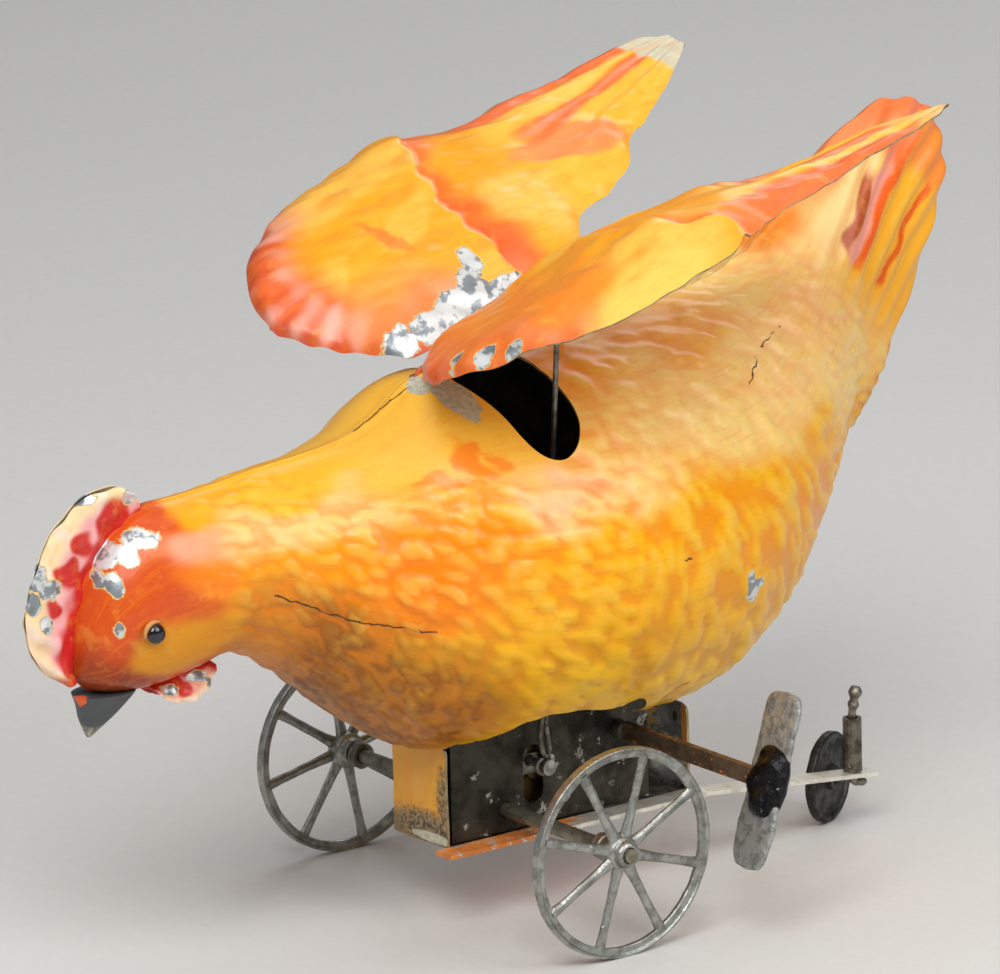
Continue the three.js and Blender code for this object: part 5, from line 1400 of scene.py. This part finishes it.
def key_blade():
    """A thick cast plate worn round at its corners, wavy from use."""
    rows, around = 80, 56
    f = np.linspace(-1, 1, rows)[:, None]
    turn = circle(around)[None, :]
    shape = np.maximum(1 - np.abs(f) ** 9, 0) ** (1 / 3.2)
    waist = 1 - 0.10 * np.exp(-(f / 0.3) ** 2) + 0.03 * np.sin(f * 9)
    swell = 0.85 + 0.2 * np.exp(-(f / 0.35) ** 2)
    w = KEY["width"] / 2 * shape * waist
    h = KEY["thickness"] / 2 * swell * np.minimum(shape * 1.5, 1)
    c, n = np.cos(turn), np.sin(turn)
    x = w * np.sign(c) * np.abs(c) ** 0.55
    z = h * np.sign(n) * np.abs(n) ** 0.6
    local = np.stack([x, f * KEY["length"] / 2 * np.ones_like(turn), z], -1)
    waves = ((4.2, 0.10, 131), (1.7, 0.05, 132))
    return key_piece("worn_key_blade", local, rows, around, waves, key_steel, "key_blade", 60)


def key_collar():
    """A lump of black solder that holds the blade to the shank."""
    rows, around = 46, 60
    lat = np.linspace(0.02, math.pi - 0.02, rows)[:, None]
    turn = circle(around)[None, :]
    ring = np.sin(lat) ** 0.7
    along = -np.cos(lat) * np.ones_like(turn) * 7.6
    local = np.stack([0.8 + 5.5 * ring * np.cos(turn), along, 3.2 * ring * np.sin(turn)], -1)
    lumps = ((5.5, 0.6, 135), (2.6, 0.16, 136))
    return key_piece("solder_collar", local, rows, around, lumps, tar, "key_collar", 80)


key_blade()
key_collar()

# ---------------------------------------------------------------- CAD parts that keep their shape
CAD_FINISH = {
    "wing_lug": lug_tin, "wing_hinge_wire": painted_wire, "clockwork_plate": plate_tin,
    "lifter_pin": bright_wire, "clockwork_pillar": axle_metal, "front_axle": axle_metal, "axle_pinion": brass,
    "second_arbor": bright_wire, "second_wheel": brass, "second_pinion": brass, "crank_disc": brass,
    "great_wheel": brass, "click_spring": blue_steel, "click": axle_metal, "mainspring": blue_steel,
    "winding_arbor": axle_metal, "ratchet_wheel": axle_metal, "lifter_stirrup": old_wire,
    "key_shank": shank_metal, "steering_strip": strip_tin, "steering_tube": tube_metal}
for node_name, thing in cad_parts.items():
    matches = [start for start in CAD_FINISH if node_name.startswith(start)]
    for slot in thing.material_slots if matches else ():
        slot.material = CAD_FINISH[max(matches, key=len)]  # "click_spring" goes before "click"


# ---------------------------------------------------------------- camera, light and floor
def towards(azimuth, elevation):
    """The direction at an azimuth, from straight ahead of the hen towards its left, and an elevation."""
    a, e = math.radians(azimuth), math.radians(elevation)
    return Vector((math.sin(a) * math.cos(e), -math.cos(a) * math.cos(e), math.sin(e)))


def camera_at(place, azimuth, elevation, roll, lens):
    """A camera that looks back along the given direction."""
    a, r = math.radians(azimuth), math.radians(roll)
    back = towards(azimuth, elevation)
    level = Vector((math.cos(a), math.sin(a), 0))
    right = level * math.cos(r) + back.cross(level) * math.sin(r)
    data = bpy.data.cameras.new("camera")
    data.lens = lens
    data.sensor_width = 36
    data.clip_end = 20
    thing = bpy.data.objects.new("camera", data)
    turn = Matrix((right, back.cross(right), back)).transposed().to_4x4()
    thing.matrix_world = Matrix.Translation(place) @ turn
    bpy.context.collection.objects.link(thing)
    bpy.context.scene.camera = thing


def softbox(name, azimuth, elevation, distance, size, power):
    away = towards(azimuth, elevation)
    data = bpy.data.lights.new(name, "AREA")
    data.shape = "RECTANGLE"
    data.size, data.size_y = size
    data.energy = power
    thing = bpy.data.objects.new(name, data)
    place = Vector((0, 0, 0.06)) + away * distance
    thing.matrix_world = Matrix.Translation(place) @ away.to_track_quat("Z", "Y").to_matrix().to_4x4()
    bpy.context.collection.objects.link(thing)


def floor():
    half, z = 6.0, -BASE_Z * MM
    mesh = bpy.data.meshes.new("floor")
    corners = [(x * half, y * half, z) for x, y in ((-1, -1), (1, -1), (1, 1), (-1, 1))]
    mesh.from_pydata(corners, [], [(0, 1, 2, 3)])
    s = Shader("floor_paper")
    fibre = s.noise(3.0, 5, seed=1)
    colour = s.mix(fibre, linear(206, 205, 202), linear(214, 213, 210))
    mesh.materials.append(s.finish(Base_Color=colour, Roughness=0.75, Normal=s.bump(fibre, 0.1)))
    thing = bpy.data.objects.new("floor", mesh)
    bpy.context.collection.objects.link(thing)


camera_at(Vector(metres((1410.4, -1032.5, 565.8))), azimuth=53.6, elevation=15.2, roll=-1.5, lens=311.4)
softbox("key_light", 44, 46, 1.6, (0.9, 0.8), 17)
softbox("front_light", -25, 30, 1.7, (0.9, 0.9), 3)
softbox("side_light", 108, 34, 1.7, (0.9, 1.1), 12)
softbox("top_light", 60, 84, 1.5, (1.4, 1.4), 6)
softbox("back_light", 215, 35, 1.8, (1.2, 0.8), 6)
floor()

world = bpy.data.worlds.new("studio")
world.use_nodes = True
background = world.node_tree.nodes["Background"].inputs
background["Color"].default_value = (0.92, 0.94, 1.0, 1)
background["Strength"].default_value = 0.13
bpy.context.scene.world = world
bpy.context.scene.view_settings.view_transform = "Standard"
